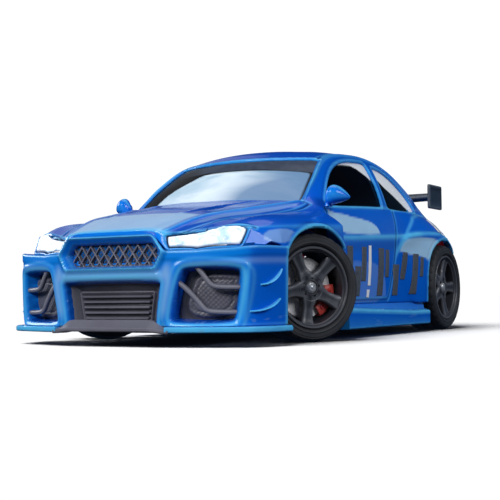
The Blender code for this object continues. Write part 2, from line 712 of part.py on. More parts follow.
def rear_diffuser():
    diffuser = prism("rear_diffuser", DIFFUSER, 49.2, 50.6, GREY)
    for i in range(5):
        x = (i - 2) * STRAKE_PITCH
        join(diffuser, box(f"add_strake_{i}", (x - 0.35, 47.0, 2.6), (x + 0.35, 51.9, 6.4)))
    for side, sign in SIDES:
        x = sign * PIPE_X
        join(diffuser, cyl("add_tailpipe_" + side, 1.25, (x, 49.6, PIPE_Z), (x, 53.0, PIPE_Z)))
        cut(diffuser, cyl("cut_tailpipe_" + side, 0.85, (x, 51.6, PIPE_Z), (x, 54, PIPE_Z)))


# ================= side skirts and mirrors =================
SKIRT_Y = [ARCH_F[0] + ARCH_F[1] + 0.5, -10, 0, 8, 15, ARCH_R[0] - ARCH_R[1] - 0.5]
# Mirror head, root to tip: x, centre y, centre z, half depth, half height
MIRROR_SECTIONS = [
    (20.4, -18.4, 24.0, 0.8, 0.8),
    (21.3, -18.5, 24.3, 1.7, 1.75),
    (22.6, -18.2, 24.4, 1.8, 1.55),
    (23.9, -17.8, 24.15, 1.0, 0.8),
    (24.3, -17.6, 24.0, 0.4, 0.3),
]


def side_skirt(side, sign):
    """A sill whose ledge drops towards the rear."""
    sections = []
    for i, y in enumerate(SKIRT_Y):
        ledge = 5.1 - 1.1 * i / (len(SKIRT_Y) - 1)
        outline = [(20.4, 1.5), (23.2, 1.5), (23.6, 2.0), (23.6, ledge - 0.5),
                   (23.3, ledge), (22.5, 5.35), (22.2, 5.55), (20.4, 5.55)]
        sections.append([(sign * x, y, z) for x, z in outline])
    loft("side_skirt_" + side, sections, BLUE)


def door_mirror(side, sign):
    """A leaf-shaped head rounded from a coarse cage, on a foot beside the door."""
    sections = []
    for x, mid_y, mid_z, depth, height in MIRROR_SECTIONS:
        ring = []
        for i in range(8):
            c, s = math.cos(i * math.pi / 4), math.sin(i * math.pi / 4)
            y = mid_y + depth * c * (1.0 if c < 0 else 0.8)
            ring.append((sign * x, y, mid_z + height * s))
        sections.append(ring)
    mirror = loft("mirror_" + side, sections, BLUE)
    smooth = mirror.modifiers.new("round", "SUBSURF")
    smooth.levels = smooth.render_levels = 1
    foot = box("add_mirror_foot_" + side, (sign * 20.55, -19.1, 22.5), (sign * 21.6, -17.6, 23.6))
    join(frozen(mirror), foot)


# ================= rear wing =================
WING_Y, WING_Z = 43.4, 28.6      # middle of the end plates
WING_LONG, WING_TALL = 7.6, 5.3  # end plates
PLATE_CORNER = 0.6
CHORD, SPAN = 7.2, 32.6
END_PLATE_X = 16.5
STRUT_X = 8.0


def aerofoil(chord, thickness, count=7):
    """Cambered section, nose at 0, as one closed outline; thickness is a share of the chord."""
    places = [chord * (0.5 - 0.5 * math.cos(math.pi * i / count)) for i in range(count + 1)]

    def half(place):
        t = place / chord
        # the standard four-digit aerofoil thickness formula
        return 5 * thickness * chord * (
            0.2969 * math.sqrt(t) - 0.126 * t - 0.3516 * t * t + 0.2843 * t**3 - 0.1015 * t**4)

    def camber(place):
        return -0.07 * chord * math.sin(math.pi * place / chord)

    top = [(place, camber(place) + half(place) + 0.12) for place in places]
    return top + [(place, camber(place) - half(place) - 0.12) for place in places[::-1]]


def deck_z(x, y):
    """Height of the shell's top at the sampled point nearest x, y on the deck."""
    samples = (body_point(12 + i * 0.05, 3 + j * 0.05) for i in range(41) for j in range(21))
    return min(samples, key=lambda point: (point.x - x)**2 + (point.y - y)**2).z


def rear_wing():
    """Aerofoil blade, end plates and two struts."""
    blade = [(WING_Y - CHORD / 2 + y, WING_Z - 0.3 + z + y * 0.14)
             for y, z in aerofoil(CHORD, 0.17)]
    wing = put(flat("rear_wing", [blade], SPAN, BLACK), STAND_YZ)
    y0, y1 = WING_Y - WING_LONG / 2, WING_Y + WING_LONG / 2
    z0, z1 = WING_Z - WING_TALL / 2, WING_Z + WING_TALL / 2
    c = PLATE_CORNER
    plate = [(y0 + c, z0), (y1 - c, z0), (y1, z0 + c), (y1, z1 - c),
             (y1 - c, z1), (y0 + c, z1), (y0, z1 - c), (y0, z0 + c)]
    front, rear = WING_Y - 1.8, WING_Y + 1.4
    strut = [(front, deck_z(STRUT_X, front) + GAP), (rear, deck_z(STRUT_X, rear) + GAP),
             (rear, WING_Z), (front, WING_Z)]
    for side, sign in SIDES:
        join(wing,
             put(flat("add_end_plate_" + side, [plate], 0.6),
                 shift(sign * END_PLATE_X) @ STAND_YZ),
             put(flat("add_strut_" + side, [strut], 0.9), shift(sign * STRUT_X) @ STAND_YZ))


# ================= wheels =================
# Profiles: (radius, offset outwards from the wheel's centre plane)
RIM_PROFILE = [
    (BARREL_R, 2.5), (6.2, 3.25), (RIM_R - 0.02, 3.25), (RIM_R - 0.15, 2.1),
    (RIM_R - 0.15, -2.4), (RIM_R - 0.02, -3.25), (6.2, -3.25), (BARREL_R, -2.9),
    (BARREL_R, 2.5)]
TYRE_PROFILE = [
    (6.68, 3.35), (7.3, TYRE_W / 2), (8.2, 3.3), (TYRE_R, 2.3), (TYRE_R, -2.3), (8.2, -3.3),
    (7.3, -TYRE_W / 2), (6.68, -3.35), (RIM_R, -2.3), (RIM_R, 2.1), (6.68, 3.35)]
HUB_PROFILE = [(0, 2.75), (1.6, 2.75), (2.05, 2.4), (2.05, 0.75), (0, 0.75)]
DISC_PROFILE = [(1.3, 0.0), (1.3, 0.5), (4.9, 0.5), (4.9, 0.0), (1.3, 0.0)]
# Bright round head at each axle end, and the 0.6 mm shaft behind it
AXLE_HEAD = [(0, 2.95), (0.55, 2.95), (0.85, 2.75), (0.85, 2.42), (0.6, 2.42)]
STUB_BORE_R = 0.66
# One spoke's outline: (radius, distance to the side of its centre line)
SPOKE = [(2.1, -1.12), (3.4, -1.0), (6.1, -1.22), (6.1, 1.22), (3.4, 1.0), (2.1, 1.12)]
SPIN = {"front_left": 46, "front_right": 10, "rear_left": 0, "rear_right": 30}  # degrees


def spokes():
    """Outline of the five-spoke star, flat in XY."""
    points = []
    for k in range(5):
        degrees = 90 + 72 * k
        valley = math.radians(degrees - 36)
        points.append((1.98 * math.cos(valley), 1.98 * math.sin(valley)))
        c, s = math.cos(math.radians(degrees)), math.sin(math.radians(degrees))
        points += [(radius * c - aside * s, radius * s + aside * c) for radius, aside in SPOKE]
    return points


def take_mesh(obj):
    """The mesh of a helper whose object is no longer needed."""
    mesh = obj.data
    bpy.data.objects.remove(obj, do_unlink=True)
    return mesh


def rim_mesh():
    rim = turned("rim_source", RIM_PROFILE)
    star = put(flat("rim_star", [spokes()], 1.2), shift(2.1) @ spin(90, "Y"))
    hub = turned("rim_hub", HUB_PROFILE, steps=15)
    bore = shaft("rim_bore", STUB_BORE_R, -2, 5, 0, 0, facets=14)
    seat = shaft("rim_seat", 1.0, 2.35, 5, 0, 0, facets=14)
    join(rim, star, hub)
    cut(rim, bore, seat)
    mesh = take_mesh(frozen(rim))
    for helper in (star, hub, bore, seat):
        bpy.data.objects.remove(helper, do_unlink=True)
    return mesh


def steered(sign):
    """The rest steering angle about one side's kingpin."""
    return spin_about(sign * KINGPIN_X, FRONT_Y, STEER_REST)


def wheel_frame(end, sign):
    """From a wheel at the origin, its outside to +X, to its place on the car."""
    x, y = (FRONT_WHEEL_X, FRONT_Y) if end == "front" else (REAR_WHEEL_X, REAR_Y)
    frame = shift(sign * x, y, AXLE_Z) @ (FLIP_X if sign < 0 else Matrix.Identity(4))
    return steered(sign) @ frame if end == "front" else frame


def put_facing_out(obj, matrix):
    """Moves the mesh, and turns its faces out again if the move mirrors it."""
    put(obj, matrix)
    if matrix.determinant() < 0:
        obj.data.flip_normals()


def wheels():
    """Four tyres and rims, and the two front brake discs."""
    rim = rim_mesh()
    tyre = take_mesh(turned("tyre_source", TYRE_PROFILE))
    disc = take_mesh(turned("disc_source", DISC_PROFILE, steps=28))
    for end in ("front", "rear"):
        for side, sign in SIDES:
            place = f"{end}_{side}"
            frame = wheel_frame(end, sign)
            put_facing_out(add_object("tyre_" + place, tyre.copy(), TYRE), frame)
            put_facing_out(add_object("rim_" + place, rim.copy(), RIM),
                           frame @ spin(SPIN[place], "X"))
            if end == "front":
                put_facing_out(add_object("brake_disc_" + side, disc.copy(), DISC), frame)


# ================= front axle =================
ARM_Z = 2.95                # suspension arm centre over or under the axle
ARM_EYE_R = 0.65            # kingpin holes in the arms
TIE_HALF_T = 0.5            # half thickness of the tie rod
HORN_BORE_R = 0.7 + RUN
SERVO_SHAFT_R = 0.7
CAP_SCREW_X, CAP_SCREW_DY = 8.3, 0.1   # upper arm screw holes, dy from the kingpin line


def steering_arm(x, root_y, arm_name, pin_name):
    """An arm straight ahead of x on the kingpin line, and its upright tie rod pin."""
    arm = box(arm_name, (x - 0.8, TIE_Y - 0.9, AXLE_Z - 1.7), (x + 0.8, root_y, AXLE_Z - 0.8))
    return arm, post(pin_name, PIN_R, x, TIE_Y, AXLE_Z - 1.2, AXLE_Z + 0.9)


def knuckle(side, sign):
    """Kingpin barrel, wheel boss, steering arm, and the lug behind for the caliper."""
    x = sign * KINGPIN_X
    barrel = post("knuckle_" + side, 1.25, x, FRONT_Y, AXLE_Z - 2.2, AXLE_Z + 2.2, BLACK, 20)
    boss_end = sign * (FRONT_WHEEL_X - 0.25)
    join(barrel,
         shaft("add_boss_" + side, 1.1, x, boss_end, FRONT_Y, AXLE_Z),
         *steering_arm(x, FRONT_Y - 0.6, "add_arm_" + side, "add_tie_pin_" + side),
         box("add_lug_" + side,
             (sign * (FRONT_WHEEL_X - 1.95), FRONT_Y + 0.3, AXLE_Z - 2.0),
             (sign * (FRONT_WHEEL_X - 1.15), FRONT_Y + 4.4, AXLE_Z - 0.2)))
    bore_start = sign * (KINGPIN_X + 0.85)
    cut(barrel,
        post("cut_kingpin_" + side, KINGPIN_R + RUN, x, FRONT_Y, AXLE_Z - 4, AXLE_Z + 4),
        shaft("cut_stub_" + side, STUB_BORE_R, bore_start, sign * 30, FRONT_Y, AXLE_Z))
    put(frozen(barrel), steered(sign))


def stub_axle(side, sign):
    profile = AXLE_HEAD + [(0.6, -0.95), (0, -0.95)]
    stub = turned("stub_axle_" + side, profile, STEEL, steps=14)
    put_facing_out(stub, wheel_frame("front", sign))


def kingpin(side, sign):
    post("kingpin_" + side, KINGPIN_R, sign * KINGPIN_X, FRONT_Y,
         AXLE_Z - 3.6, AXLE_Z + 3.6, STEEL)


def brake_caliper(side, sign):
    """A C over the disc, behind the axle and mostly below it."""
    low, high = -58, 12   # degrees above straight back
    outline = arc(0, 0, 5.45, low, high, 8) + arc(0, 0, 3.3, high, low, 6)
    caliper = flat("brake_caliper_" + side, [outline], 2.05, RED)
    put(caliper, shift(0.225) @ STAND_YZ)
    slot = shaft("cut_disc_slot_" + side, 5.1, -0.25, 0.75, 0, 0, facets=28)
    cut(caliper, slot)
    caliper = frozen(caliper)
    bpy.data.objects.remove(slot, do_unlink=True)
    put_facing_out(caliper, wheel_frame("front", sign))


def tie_rod():
    """A bar with three eyes, built straight ahead and then carried to the rest pose."""
    z0, z1 = AXLE_Z - TIE_HALF_T, AXLE_Z + TIE_HALF_T
    half = KINGPIN_X - 0.3
    tie = box("tie_rod", (-half, TIE_Y - 0.55, z0), (half, TIE_Y + 0.55, z1), BLACK)
    eyes = list(enumerate((-KINGPIN_X, 0, KINGPIN_X)))
    for i, x in eyes:
        join(tie, post(f"add_eye_{i}", 0.98, x, TIE_Y, z0, z1))
    for i, x in eyes:
        cut(tie, post(f"cut_eye_{i}", PIN_R + RUN, x, TIE_Y, AXLE_Z - 2, AXLE_Z + 2))
    straight = Vector((0, TIE_Y * MM, 0))
    swing = spin_about(0, FRONT_Y, STEER_REST) @ straight - straight
    put(frozen(tie), Matrix.Translation(swing))


def servo_horn():
    """A lever as long as the steering arms, turned with them."""
    horn = post("servo_horn", 1.5, 0, FRONT_Y, AXLE_Z - 1.7, AXLE_Z - 0.8, BLACK, 20)
    join(horn, *steering_arm(0, FRONT_Y, "add_horn_arm", "add_horn_pin"))
    cut(horn, post("cut_horn", HORN_BORE_R, 0, FRONT_Y, AXLE_Z - 4, AXLE_Z + 4))
    put(frozen(horn), spin_about(0, FRONT_Y, STEER_REST))


def steering_servo():
    servo = box("steering_servo", (-4.5, FRONT_Y - 2.6, 3.6), (4.5, FRONT_Y + 7.5, 6.6),
                BLACK, bevel=0.3)
    join(servo, post("add_servo_shaft", SERVO_SHAFT_R, 0, FRONT_Y, 6.2, AXLE_Z - 0.5))


def upper_arm_plate():
    """A bar across the car with a kingpin eye at each end."""
    outline = [(-KINGPIN_X, -1.3), (-10.5, -1.3), (-9.5, -1.5),
               (9.5, -1.5), (10.5, -1.3), (KINGPIN_X, -1.3)]
    outline += arc(KINGPIN_X, 0, 1.3, -60, 60, 4)
    outline += [(KINGPIN_X, 1.3), (10.5, 1.3), (9.5, 2.0),
                (-9.5, 2.0), (-10.5, 1.3), (-KINGPIN_X, 1.3)]
    outline += arc(-KINGPIN_X, 0, 1.3, 120, 240, 4)
    holes = [circle(x, 0, ARM_EYE_R, 16) for x in (KINGPIN_X, -KINGPIN_X)]
    holes += [circle(x, CAP_SCREW_DY, 0.5, 12) for x in (CAP_SCREW_X, -CAP_SCREW_X)]
    plate = flat("upper_arm_plate", [outline] + holes, 0.8, BLACK)
    put(plate, shift(0, FRONT_Y, AXLE_Z + ARM_Z))


# ================= chassis =================
# Left half of the tub's plan, nose to tail: (x, y)
TUB_HALF = [
    (8.5, -47.5), (11.2, -44.5), (11.4, -40), (11.0, -38), (11.0, -17.5), (13.0, -15.8),
    (19.6, -15.4), (19.9, -14.5), (19.9, 19.6), (19.0, 20.6), (15.4, 21.2), (15.0, 22),
    (15.0, 41.8), (14.5, 43.5), (11.0, 46.5)]
FLOOR_Z = 3.0                                        # fittings on the tub start here
SHELL_SCREWS = [("front", 7.0, -43.6), ("rear", 9.5, 43.0)]   # name, x, y
SCREW_R, SCREW_LENGTH, HEAD_R, HEAD_H = 0.6, 5.0, 1.2, 0.6
SCREW_Z = 2.1                                        # bottom of the screw heads
BUSH_X, BUSH_R, BUSH_SEAT_R = 13.0, 2.0, 2.05
BLOCK_X = (11.6, 14.4)                               # rear axle blocks and their caps


def bush_seat(name, sign):
    return shaft(name, BUSH_SEAT_R, sign * 9, sign * 17, REAR_Y, AXLE_Z, facets=20)


def chassis_fittings(sign):
    """One side's pillar, lower arm, battery wall, rear axle block and screw bosses."""
    x = sign * KINGPIN_X
    arm_z0, arm_z1 = AXLE_Z - ARM_Z - 0.45, AXLE_Z - ARM_Z + 0.45
    return [
        # the pillar also carries the upper arm
        box(f"add_pillar_{sign}", (sign * 6.6, FRONT_Y - 1.4, 2.4),
            (sign * 10.0, FRONT_Y + 1.6, AXLE_Z + ARM_Z - 0.75)),
        box(f"add_lower_arm_{sign}", (sign * 9.0, FRONT_Y - 1.2, arm_z0),
            (x, FRONT_Y + 1.2, arm_z1)),
        post(f"add_lower_eye_{sign}", 1.25, x, FRONT_Y, arm_z0, arm_z1),
        box(f"add_wall_{sign}", (sign * 12.3, -12.0, FLOOR_Z), (sign * 13.1, 16.0, 7.4)),
        box(f"add_axle_block_{sign}", (sign * BLOCK_X[0], REAR_Y - 3.4, FLOOR_Z),
            (sign * BLOCK_X[1], REAR_Y + 3.4, AXLE_Z - 0.1)),
    ] + [post(f"add_boss_{end}_{sign}", 1.9, sign * screw_x, screw_y, FLOOR_Z, 8.0)
         for end, screw_x, screw_y in SHELL_SCREWS]


def chassis_tub():
    outline = TUB_HALF + [(-x, y) for x, y in TUB_HALF[::-1]]
    tub = put(flat("chassis_tub", [outline], 1.2, BLACK), shift(0, 0, 2.6))
    for sign in (1, -1):
        join(tub, *chassis_fittings(sign))
    join(tub,
         box("add_servo_rib", (-4.5, FRONT_Y + 8.0, FLOOR_Z), (4.5, FRONT_Y + 8.8, 6.4)),
         box("add_motor_rib_front", (-8.6, 17.9, FLOOR_Z), (3.6, 18.9, 6.6)))
    for sign in (1, -1):
        cut(tub,
            post(f"cut_lower_eye_{sign}", ARM_EYE_R, sign * KINGPIN_X, FRONT_Y, 3, 8),
            bush_seat(f"cut_bush_seat_{sign}", sign))
        for end, x, y in SHELL_SCREWS:
            cut(tub,
                post(f"cut_screw_{end}_{sign}", 0.72, sign * x, y, 0, 9, facets=14),
                post(f"cut_head_{end}_{sign}", 1.35, sign * x, y, 0, 2.75, facets=14))
        cut(tub, post(f"cut_cap_screw_{sign}", 0.45, sign * CAP_SCREW_X, FRONT_Y + CAP_SCREW_DY,
                      8.0, 14, facets=12))
    cut(tub,
        box("cut_gear", (4.6, REAR_Y - 6.0, 1), (8.4, REAR_Y + 6.0, 4.2)),
        box("cut_switch", (-3.1, -13.4, 1), (1.5, -11.2, 4.2)),
        box("cut_port", (-2.3, 38.4, 1), (2.3, 40.2, 4.2)))


def shell_screw(name, x, y):
    """A pan-head screw with a cross slot, its head facing down."""
    profile = [(0, 0), (HEAD_R * 0.7, 0), (HEAD_R, -HEAD_H * 0.45), (HEAD_R, -HEAD_H),
               (SCREW_R, -HEAD_H), (SCREW_R, -HEAD_H - SCREW_LENGTH),
               (0, -HEAD_H - SCREW_LENGTH)]
    screw = put(turned(name, profile, STEEL, steps=10), spin(-90, "Y"))
    half = HEAD_R * 0.62
    for i in (0, 1):
        slot = box(f"cut_{name}_{i}", (-half, -0.14, -0.35), (half, 0.14, 0.5))
        cut(screw, put(slot, spin(90 * i, "Z")))
    screw = put(frozen(screw), spin(180, "X"))
    put(screw, shift(x, y, SCREW_Z))


# ================= rear axle and drive =================
MODULE = 0.5
SPUR_TEETH = 20
PINION_TEETH = 8
GEAR_X = 6.5
AXLE_R = 1.0                     # rear axle between the wheels
AXLE_BORE_R = 1.05               # in the spur gear and the bushes
CENTRES = MODULE * (SPUR_TEETH + PINION_TEETH) / 2
MOTOR_RISE = 0.9                 # motor shaft over the axle
MOTOR_Z = AXLE_Z + MOTOR_RISE
MOTOR_Y = REAR_Y - math.sqrt(CENTRES**2 - MOTOR_RISE**2)
TO_MOTOR = math.degrees(math.atan2(MOTOR_Z - AXLE_Z, MOTOR_Y - REAR_Y))


def gear_outline(teeth, backlash=0.14):
    """Teeth with straight flanks close to the involute's, in XY, first tooth along +X."""
    pitch_r = teeth * MODULE / 2
    tip_r, root_r = pitch_r + MODULE * 0.92, pitch_r - MODULE * 1.18

    def half_angle(radius):
        lean = math.tan(math.radians(20)) * (1.0 if radius > pitch_r else 0.75)
        half = MODULE * math.pi / 4 - backlash / 2 - (radius - pitch_r) * lean
        return math.degrees(half / radius)

    flank = (root_r, pitch_r, tip_r)
    corners = [(radius, -1) for radius in flank] + [(radius, 1) for radius in flank[::-1]]
    points = []
    for i in range(teeth):
        for radius, way in corners:
            angle = math.radians(i * 360 / teeth + way * half_angle(radius))
            points.append((radius * math.cos(angle), radius * math.sin(angle)))
    return points


def rear_axle():
    half = [(radius, REAR_WHEEL_X + x) for radius, x in AXLE_HEAD]
    half += [(0.6, REAR_WHEEL_X + 0.6), (AXLE_R, REAR_WHEEL_X + 0.6)]
    profile = half + [(radius, -x) for radius, x in half[::-1]]
    put(turned("rear_axle", profile, STEEL, steps=20), shift(0, REAR_Y, AXLE_Z))


def spur_gear():
    rings = [gear_outline(SPUR_TEETH), circle(0, 0, AXLE_BORE_R, 20)]
    gear = flat("spur_gear", rings, 2.0, GEAR)
    put(gear, shift(GEAR_X, REAR_Y, AXLE_Z) @ STAND_YZ @ spin(TO_MOTOR, "Z"))


def motor_pinion():
    pinion = flat("motor_pinion", [gear_outline(PINION_TEETH)], 2.4, BRASS)
    # turned so that a gap faces the spur's tooth
    mesh_angle = TO_MOTOR + 180 + 180 / PINION_TEETH
    put(pinion, shift(GEAR_X, MOTOR_Y, MOTOR_Z) @ STAND_YZ @ spin(mesh_angle, "Z"))
    join(pinion, shaft("add_motor_shaft", 0.5, 2.2, 7.9, MOTOR_Y, MOTOR_Z, facets=14))


def motor_can():
    can = shaft("motor_can", 4.9, -9.6, 3.6, MOTOR_Y, MOTOR_Z, STEEL, 28)
    join(can,
         shaft("add_motor_nose", 1.5, 3.2, 4.4, MOTOR_Y, MOTOR_Z),
         shaft("add_motor_tail", 1.5, -10.4, -9.3, MOTOR_Y, MOTOR_Z))
    cut(can, shaft("cut_motor_bore", 0.56, 1.9, 6, MOTOR_Y, MOTOR_Z, facets=14))


def axle_bush(side, sign):
    profile = [(AXLE_BORE_R, -1.3), (AXLE_BORE_R, 1.3), (BUSH_R, 1.3), (BUSH_R, -1.3),
               (AXLE_BORE_R, -1.3)]
    bush = turned("axle_bush_" + side, profile, BRASS, steps=20)
    put(bush, shift(sign * BUSH_X, REAR_Y, AXLE_Z))


def axle_cap(side, sign):
    """The upper half of the bush's seat."""
    cap = box("axle_cap_" + side, (sign * BLOCK_X[0], REAR_Y - 3.2, AXLE_Z + 0.2),
              (sign * BLOCK_X[1], REAR_Y + 3.2, AXLE_Z + 3.4), BLACK, bevel=0.3)
    cut(cap, bush_seat("cut_cap_bore_" + side, sign))


# ================= electronics =================
# Boxes joined to the board: name, two opposite corners
BOARD_PARTS = [
    ("add_chip_main", (-4.0, -4.5, 10.9), (3.0, 2.5, 12.0)),
    ("add_chip_drive", (4.4, 5.5, 10.9), (8.8, 9.5, 12.2)),
    ("add_radio_can", (-8.8, 4.6, 10.9), (-2.0, 12.2, 12.7)),
    ("add_plug_battery", (5.2, -9.6, 10.9), (9.8, -6.2, 13.6)),
    ("add_plug_motor", (0.6, 11.2, 10.9), (4.6, 14.2, 13.6)),
]
LED_X, LED_Z = 14.6, 16.0


def battery_cell():
    box("battery_cell", (-11.9, -11.4, 3.5), (11.9, 15.4, 9.3), CELL, bevel=0.8)


def circuit_board():
    board = box("circuit_board", (-11.0, -10.8, 10.2), (11.0, 14.8, 11.0), BOARD)
    join(board, *[box(*part) for part in BOARD_PARTS])


def charge_port():
    port = box("charge_port", (-2.0, 38.7, 2.3), (2.0, 39.9, 6.4), STEEL, bevel=0.3)
    cut(port, box("cut_port_mouth", (-1.6, 38.95, 1), (1.6, 39.65, 4.8)))


def power_switch():
    switch = box("power_switch", (-2.8, -13.1, 2.1), (-0.8, -11.5, 3.3), BLACK)
    cut(switch, box("cut_switch_rib", (-2.05, -14, 1.2), (-1.55, -10, 2.5)))


def headlamp_led(side, sign):
    """A block behind the lens with a tapered dome facing forward."""
    led = box("headlamp_led_" + side, (sign * 13.0, -45.4, 15.2), (sign * 16.2, -44.2, 16.8),
              LAMP)
    x = sign * LED_X
    join(led, cyl("add_led_dome_" + side, 0.8, (x, -45.1, LED_Z), (x, -46.3, LED_Z),
                  facets=14, end_radius=0.5))


# ================= joints =================
def on_axis(x, y, z, *names):
    """Puts the pieces' origins at x, y, z and leaves their shapes in place."""
    for name in names:
        obj = bpy.data.objects[name]
        put(obj, shift(-x, -y, -z))
        obj.location = Vector((x, y, z)) * MM


def set_origins():
    """Each moving piece has its origin on its joint's axis."""
    for side, sign in SIDES:
        steered_pieces = ("knuckle_", "stub_axle_", "brake_caliper_", "brake_disc_",
                          "tyre_front_", "rim_front_")
        on_axis(sign * KINGPIN_X, FRONT_Y, AXLE_Z, *[name + side for name in steered_pieces])
        on_axis(0, REAR_Y, AXLE_Z, "tyre_rear_" + side, "rim_rear_" + side)
    on_axis(0, REAR_Y, AXLE_Z, "rear_axle", "spur_gear")
    on_axis(GEAR_X, MOTOR_Y, MOTOR_Z, "motor_pinion")
    on_axis(0, FRONT_Y, AXLE_Z, "servo_horn")
    left_pin = steered(1) @ Vector((KINGPIN_X * MM, TIE_Y * MM, 0)) / MM
    on_axis(left_pin.x, left_pin.y, AXLE_Z, "tie_rod")
    on_axis(-1.8, -12.3, 2.7, "power_switch")   # the switch's middle


# ================= build =================
for build in (
        body_shell, window_glazing, front_bumper, grille_insert, intercooler_insert,
        rear_bumper, rear_diffuser, rear_wing, wheels, tie_rod, servo_horn, steering_servo,
        chassis_tub, upper_arm_plate, rear_axle, spur_gear, motor_pinion, motor_can,
        battery_cell, circuit_board, charge_port, power_switch):
    build()
for build_side in (
        lamps, intake_insert, side_skirt, door_mirror, knuckle, stub_axle, kingpin,
        brake_caliper, axle_bush, axle_cap, headlamp_led):
    for side_name, side_sign in SIDES:
        build_side(side_name, side_sign)
for side_name, side_sign in SIDES:
    for end_name, screw_at_x, screw_at_y in SHELL_SCREWS:
        shell_screw(f"shell_screw_{end_name}_{side_name}", side_sign * screw_at_x, screw_at_y)
set_origins()

# smooth faces, with sharp edges kept where they turn more than 35 degrees
for piece in parts.objects:
    piece.data.shade_smooth()
    piece.data.set_sharp_from_angle(angle=math.radians(35))
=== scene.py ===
import json
import math
from collections import namedtuple

import bmesh
import bpy
import numpy as np
from mathutils import Matrix, Vector
from mathutils.bvhtree import BVHTree

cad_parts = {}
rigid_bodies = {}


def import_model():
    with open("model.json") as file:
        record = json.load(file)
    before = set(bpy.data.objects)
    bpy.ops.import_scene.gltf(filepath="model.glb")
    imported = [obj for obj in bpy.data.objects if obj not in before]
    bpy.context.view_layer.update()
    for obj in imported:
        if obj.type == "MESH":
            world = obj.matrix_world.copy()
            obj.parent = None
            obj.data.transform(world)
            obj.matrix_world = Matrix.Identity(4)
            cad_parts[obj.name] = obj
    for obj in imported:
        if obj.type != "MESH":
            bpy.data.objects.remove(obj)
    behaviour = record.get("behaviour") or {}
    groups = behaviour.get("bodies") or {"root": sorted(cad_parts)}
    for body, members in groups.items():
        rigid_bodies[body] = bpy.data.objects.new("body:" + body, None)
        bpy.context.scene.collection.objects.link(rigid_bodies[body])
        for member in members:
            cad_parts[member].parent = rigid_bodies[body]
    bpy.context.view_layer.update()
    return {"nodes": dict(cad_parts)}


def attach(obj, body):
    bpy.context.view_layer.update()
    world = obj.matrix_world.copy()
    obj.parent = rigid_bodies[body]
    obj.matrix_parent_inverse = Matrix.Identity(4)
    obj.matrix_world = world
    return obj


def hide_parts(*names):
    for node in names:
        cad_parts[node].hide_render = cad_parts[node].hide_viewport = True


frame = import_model()
scene = bpy.context.scene

MM = 0.001
SIDES = ((1, "left"), (-1, "right"))     # sign of X, name
AXLE_Z = 8.7
FRONT_Y, REAR_Y = -27.2, 30.9            # axles
KINGPIN_X = 18.9
FRONT_WHEEL_X, REAR_WHEEL_X = 20.86, 20.0
STEER_REST = -30.0                       # degrees that the front wheels are turned
# Wheel arches: centre y, half length, height over the axle
FRONT_ARCH = (-28.6, 11.7, 9.4)
REAR_ARCH = (31.2, 10.9, 9.4)
ARCH_POWER = 2.4                         # 2 would be an ellipse; more is squarer


# ------------------------------------------------------------------ node helpers
def add_node(tree, kind, **settings):
    node = tree.nodes.new(kind)
    for key, value in settings.items():
        setattr(node, key, value)
    return node


class Shader:
    """A node material, built by short calls. Coordinates are the object's own, in metres."""

    def __init__(self, name):
        self.material = bpy.data.materials.new(name)
        self.material.use_nodes = True
        self.tree = self.material.node_tree
        self.principled = self.tree.nodes["Principled BSDF"]
        self.coords = self.node("ShaderNodeTexCoord").outputs["Object"]

    def node(self, kind, **settings):
        return add_node(self.tree, kind, **settings)

    def link(self, output, socket):
        self.tree.links.new(output, socket)

    def feed(self, socket, value):
        """Links an output to the socket, or sets a plain value on it."""
        if isinstance(value, bpy.types.NodeSocket):
            self.link(value, socket)
        elif isinstance(value, (tuple, list)) and len(value) == 3 and socket.type == "RGBA":
            socket.default_value = (*value, 1)
        else:
            socket.default_value = value

    def surface(self, **values):
        """Feeds the principled shader and returns the finished material."""
        for key, value in values.items():
            self.feed(self.principled.inputs[key.replace("_", " ")], value)
        return self.material

    def math(self, operation, first, second, clamp=False):
        node = self.node("ShaderNodeMath", operation=operation, use_clamp=clamp)
        for socket, value in zip(node.inputs, (first, second, 0.0)):
            self.feed(socket, value)
        return node.outputs[0]

    def times(self, first, second, clamp=False):
        return self.math("MULTIPLY", first, second, clamp)

    def vary(self, source, base, amount):
        """base + source * amount"""
        return self.math("ADD", base, self.times(source, amount))

    def mix(self, factor, base, over, share=None, clamp=False):
        """Lays one colour over another; share scales the factor."""
        if share is not None:
            factor = self.times(factor, share, clamp)
        node = self.node("ShaderNodeMix", data_type="RGBA")
        for index, value in ((0, factor), (6, base), (7, over)):
            self.feed(node.inputs[index], value)
        return node.outputs[2]

    def noise(self, scale, detail=2.0, rough=0.5, vector=None, warp=0.0):
        node = self.node("ShaderNodeTexNoise")
        node.inputs["Scale"].default_value = scale
        node.inputs["Detail"].default_value = detail
        node.inputs["Roughness"].default_value = rough
        node.inputs["Distortion"].default_value = warp
        self.link(vector or self.coords, node.inputs["Vector"])
        return node.outputs[0]

    def cells(self, scale):
        node = self.node("ShaderNodeTexVoronoi")
        node.inputs["Scale"].default_value = scale
        self.link(self.coords, node.inputs["Vector"])
        return node.outputs[0]

    def stretch(self, x, y, z):
        node = self.node("ShaderNodeMapping")
        node.inputs["Scale"].default_value = (x, y, z)
        self.link(self.coords, node.inputs["Vector"])
        return node.outputs[0]

    def step(self, value, low, high):
        node = self.node("ShaderNodeMapRange", interpolation_type="SMOOTHSTEP")
        self.feed(node.inputs[0], value)
        node.inputs[1].default_value, node.inputs[2].default_value = low, high
        return node.outputs[0]

    def xyz(self, source):
        node = self.node("ShaderNodeSeparateXYZ")
        self.link(source, node.inputs[0])
        return node.outputs

    def mark(self, name):
        """A mark stored on the mesh's points."""
        return self.node("ShaderNodeAttribute", attribute_name=name).outputs["Fac"]

    def bump(self, height, depth, strength=1.0):
        node = self.node("ShaderNodeBump")
        node.inputs["Distance"].default_value = depth
        node.inputs["Strength"].default_value = strength
        self.link(height, node.inputs["Height"])
        return node.outputs[0]


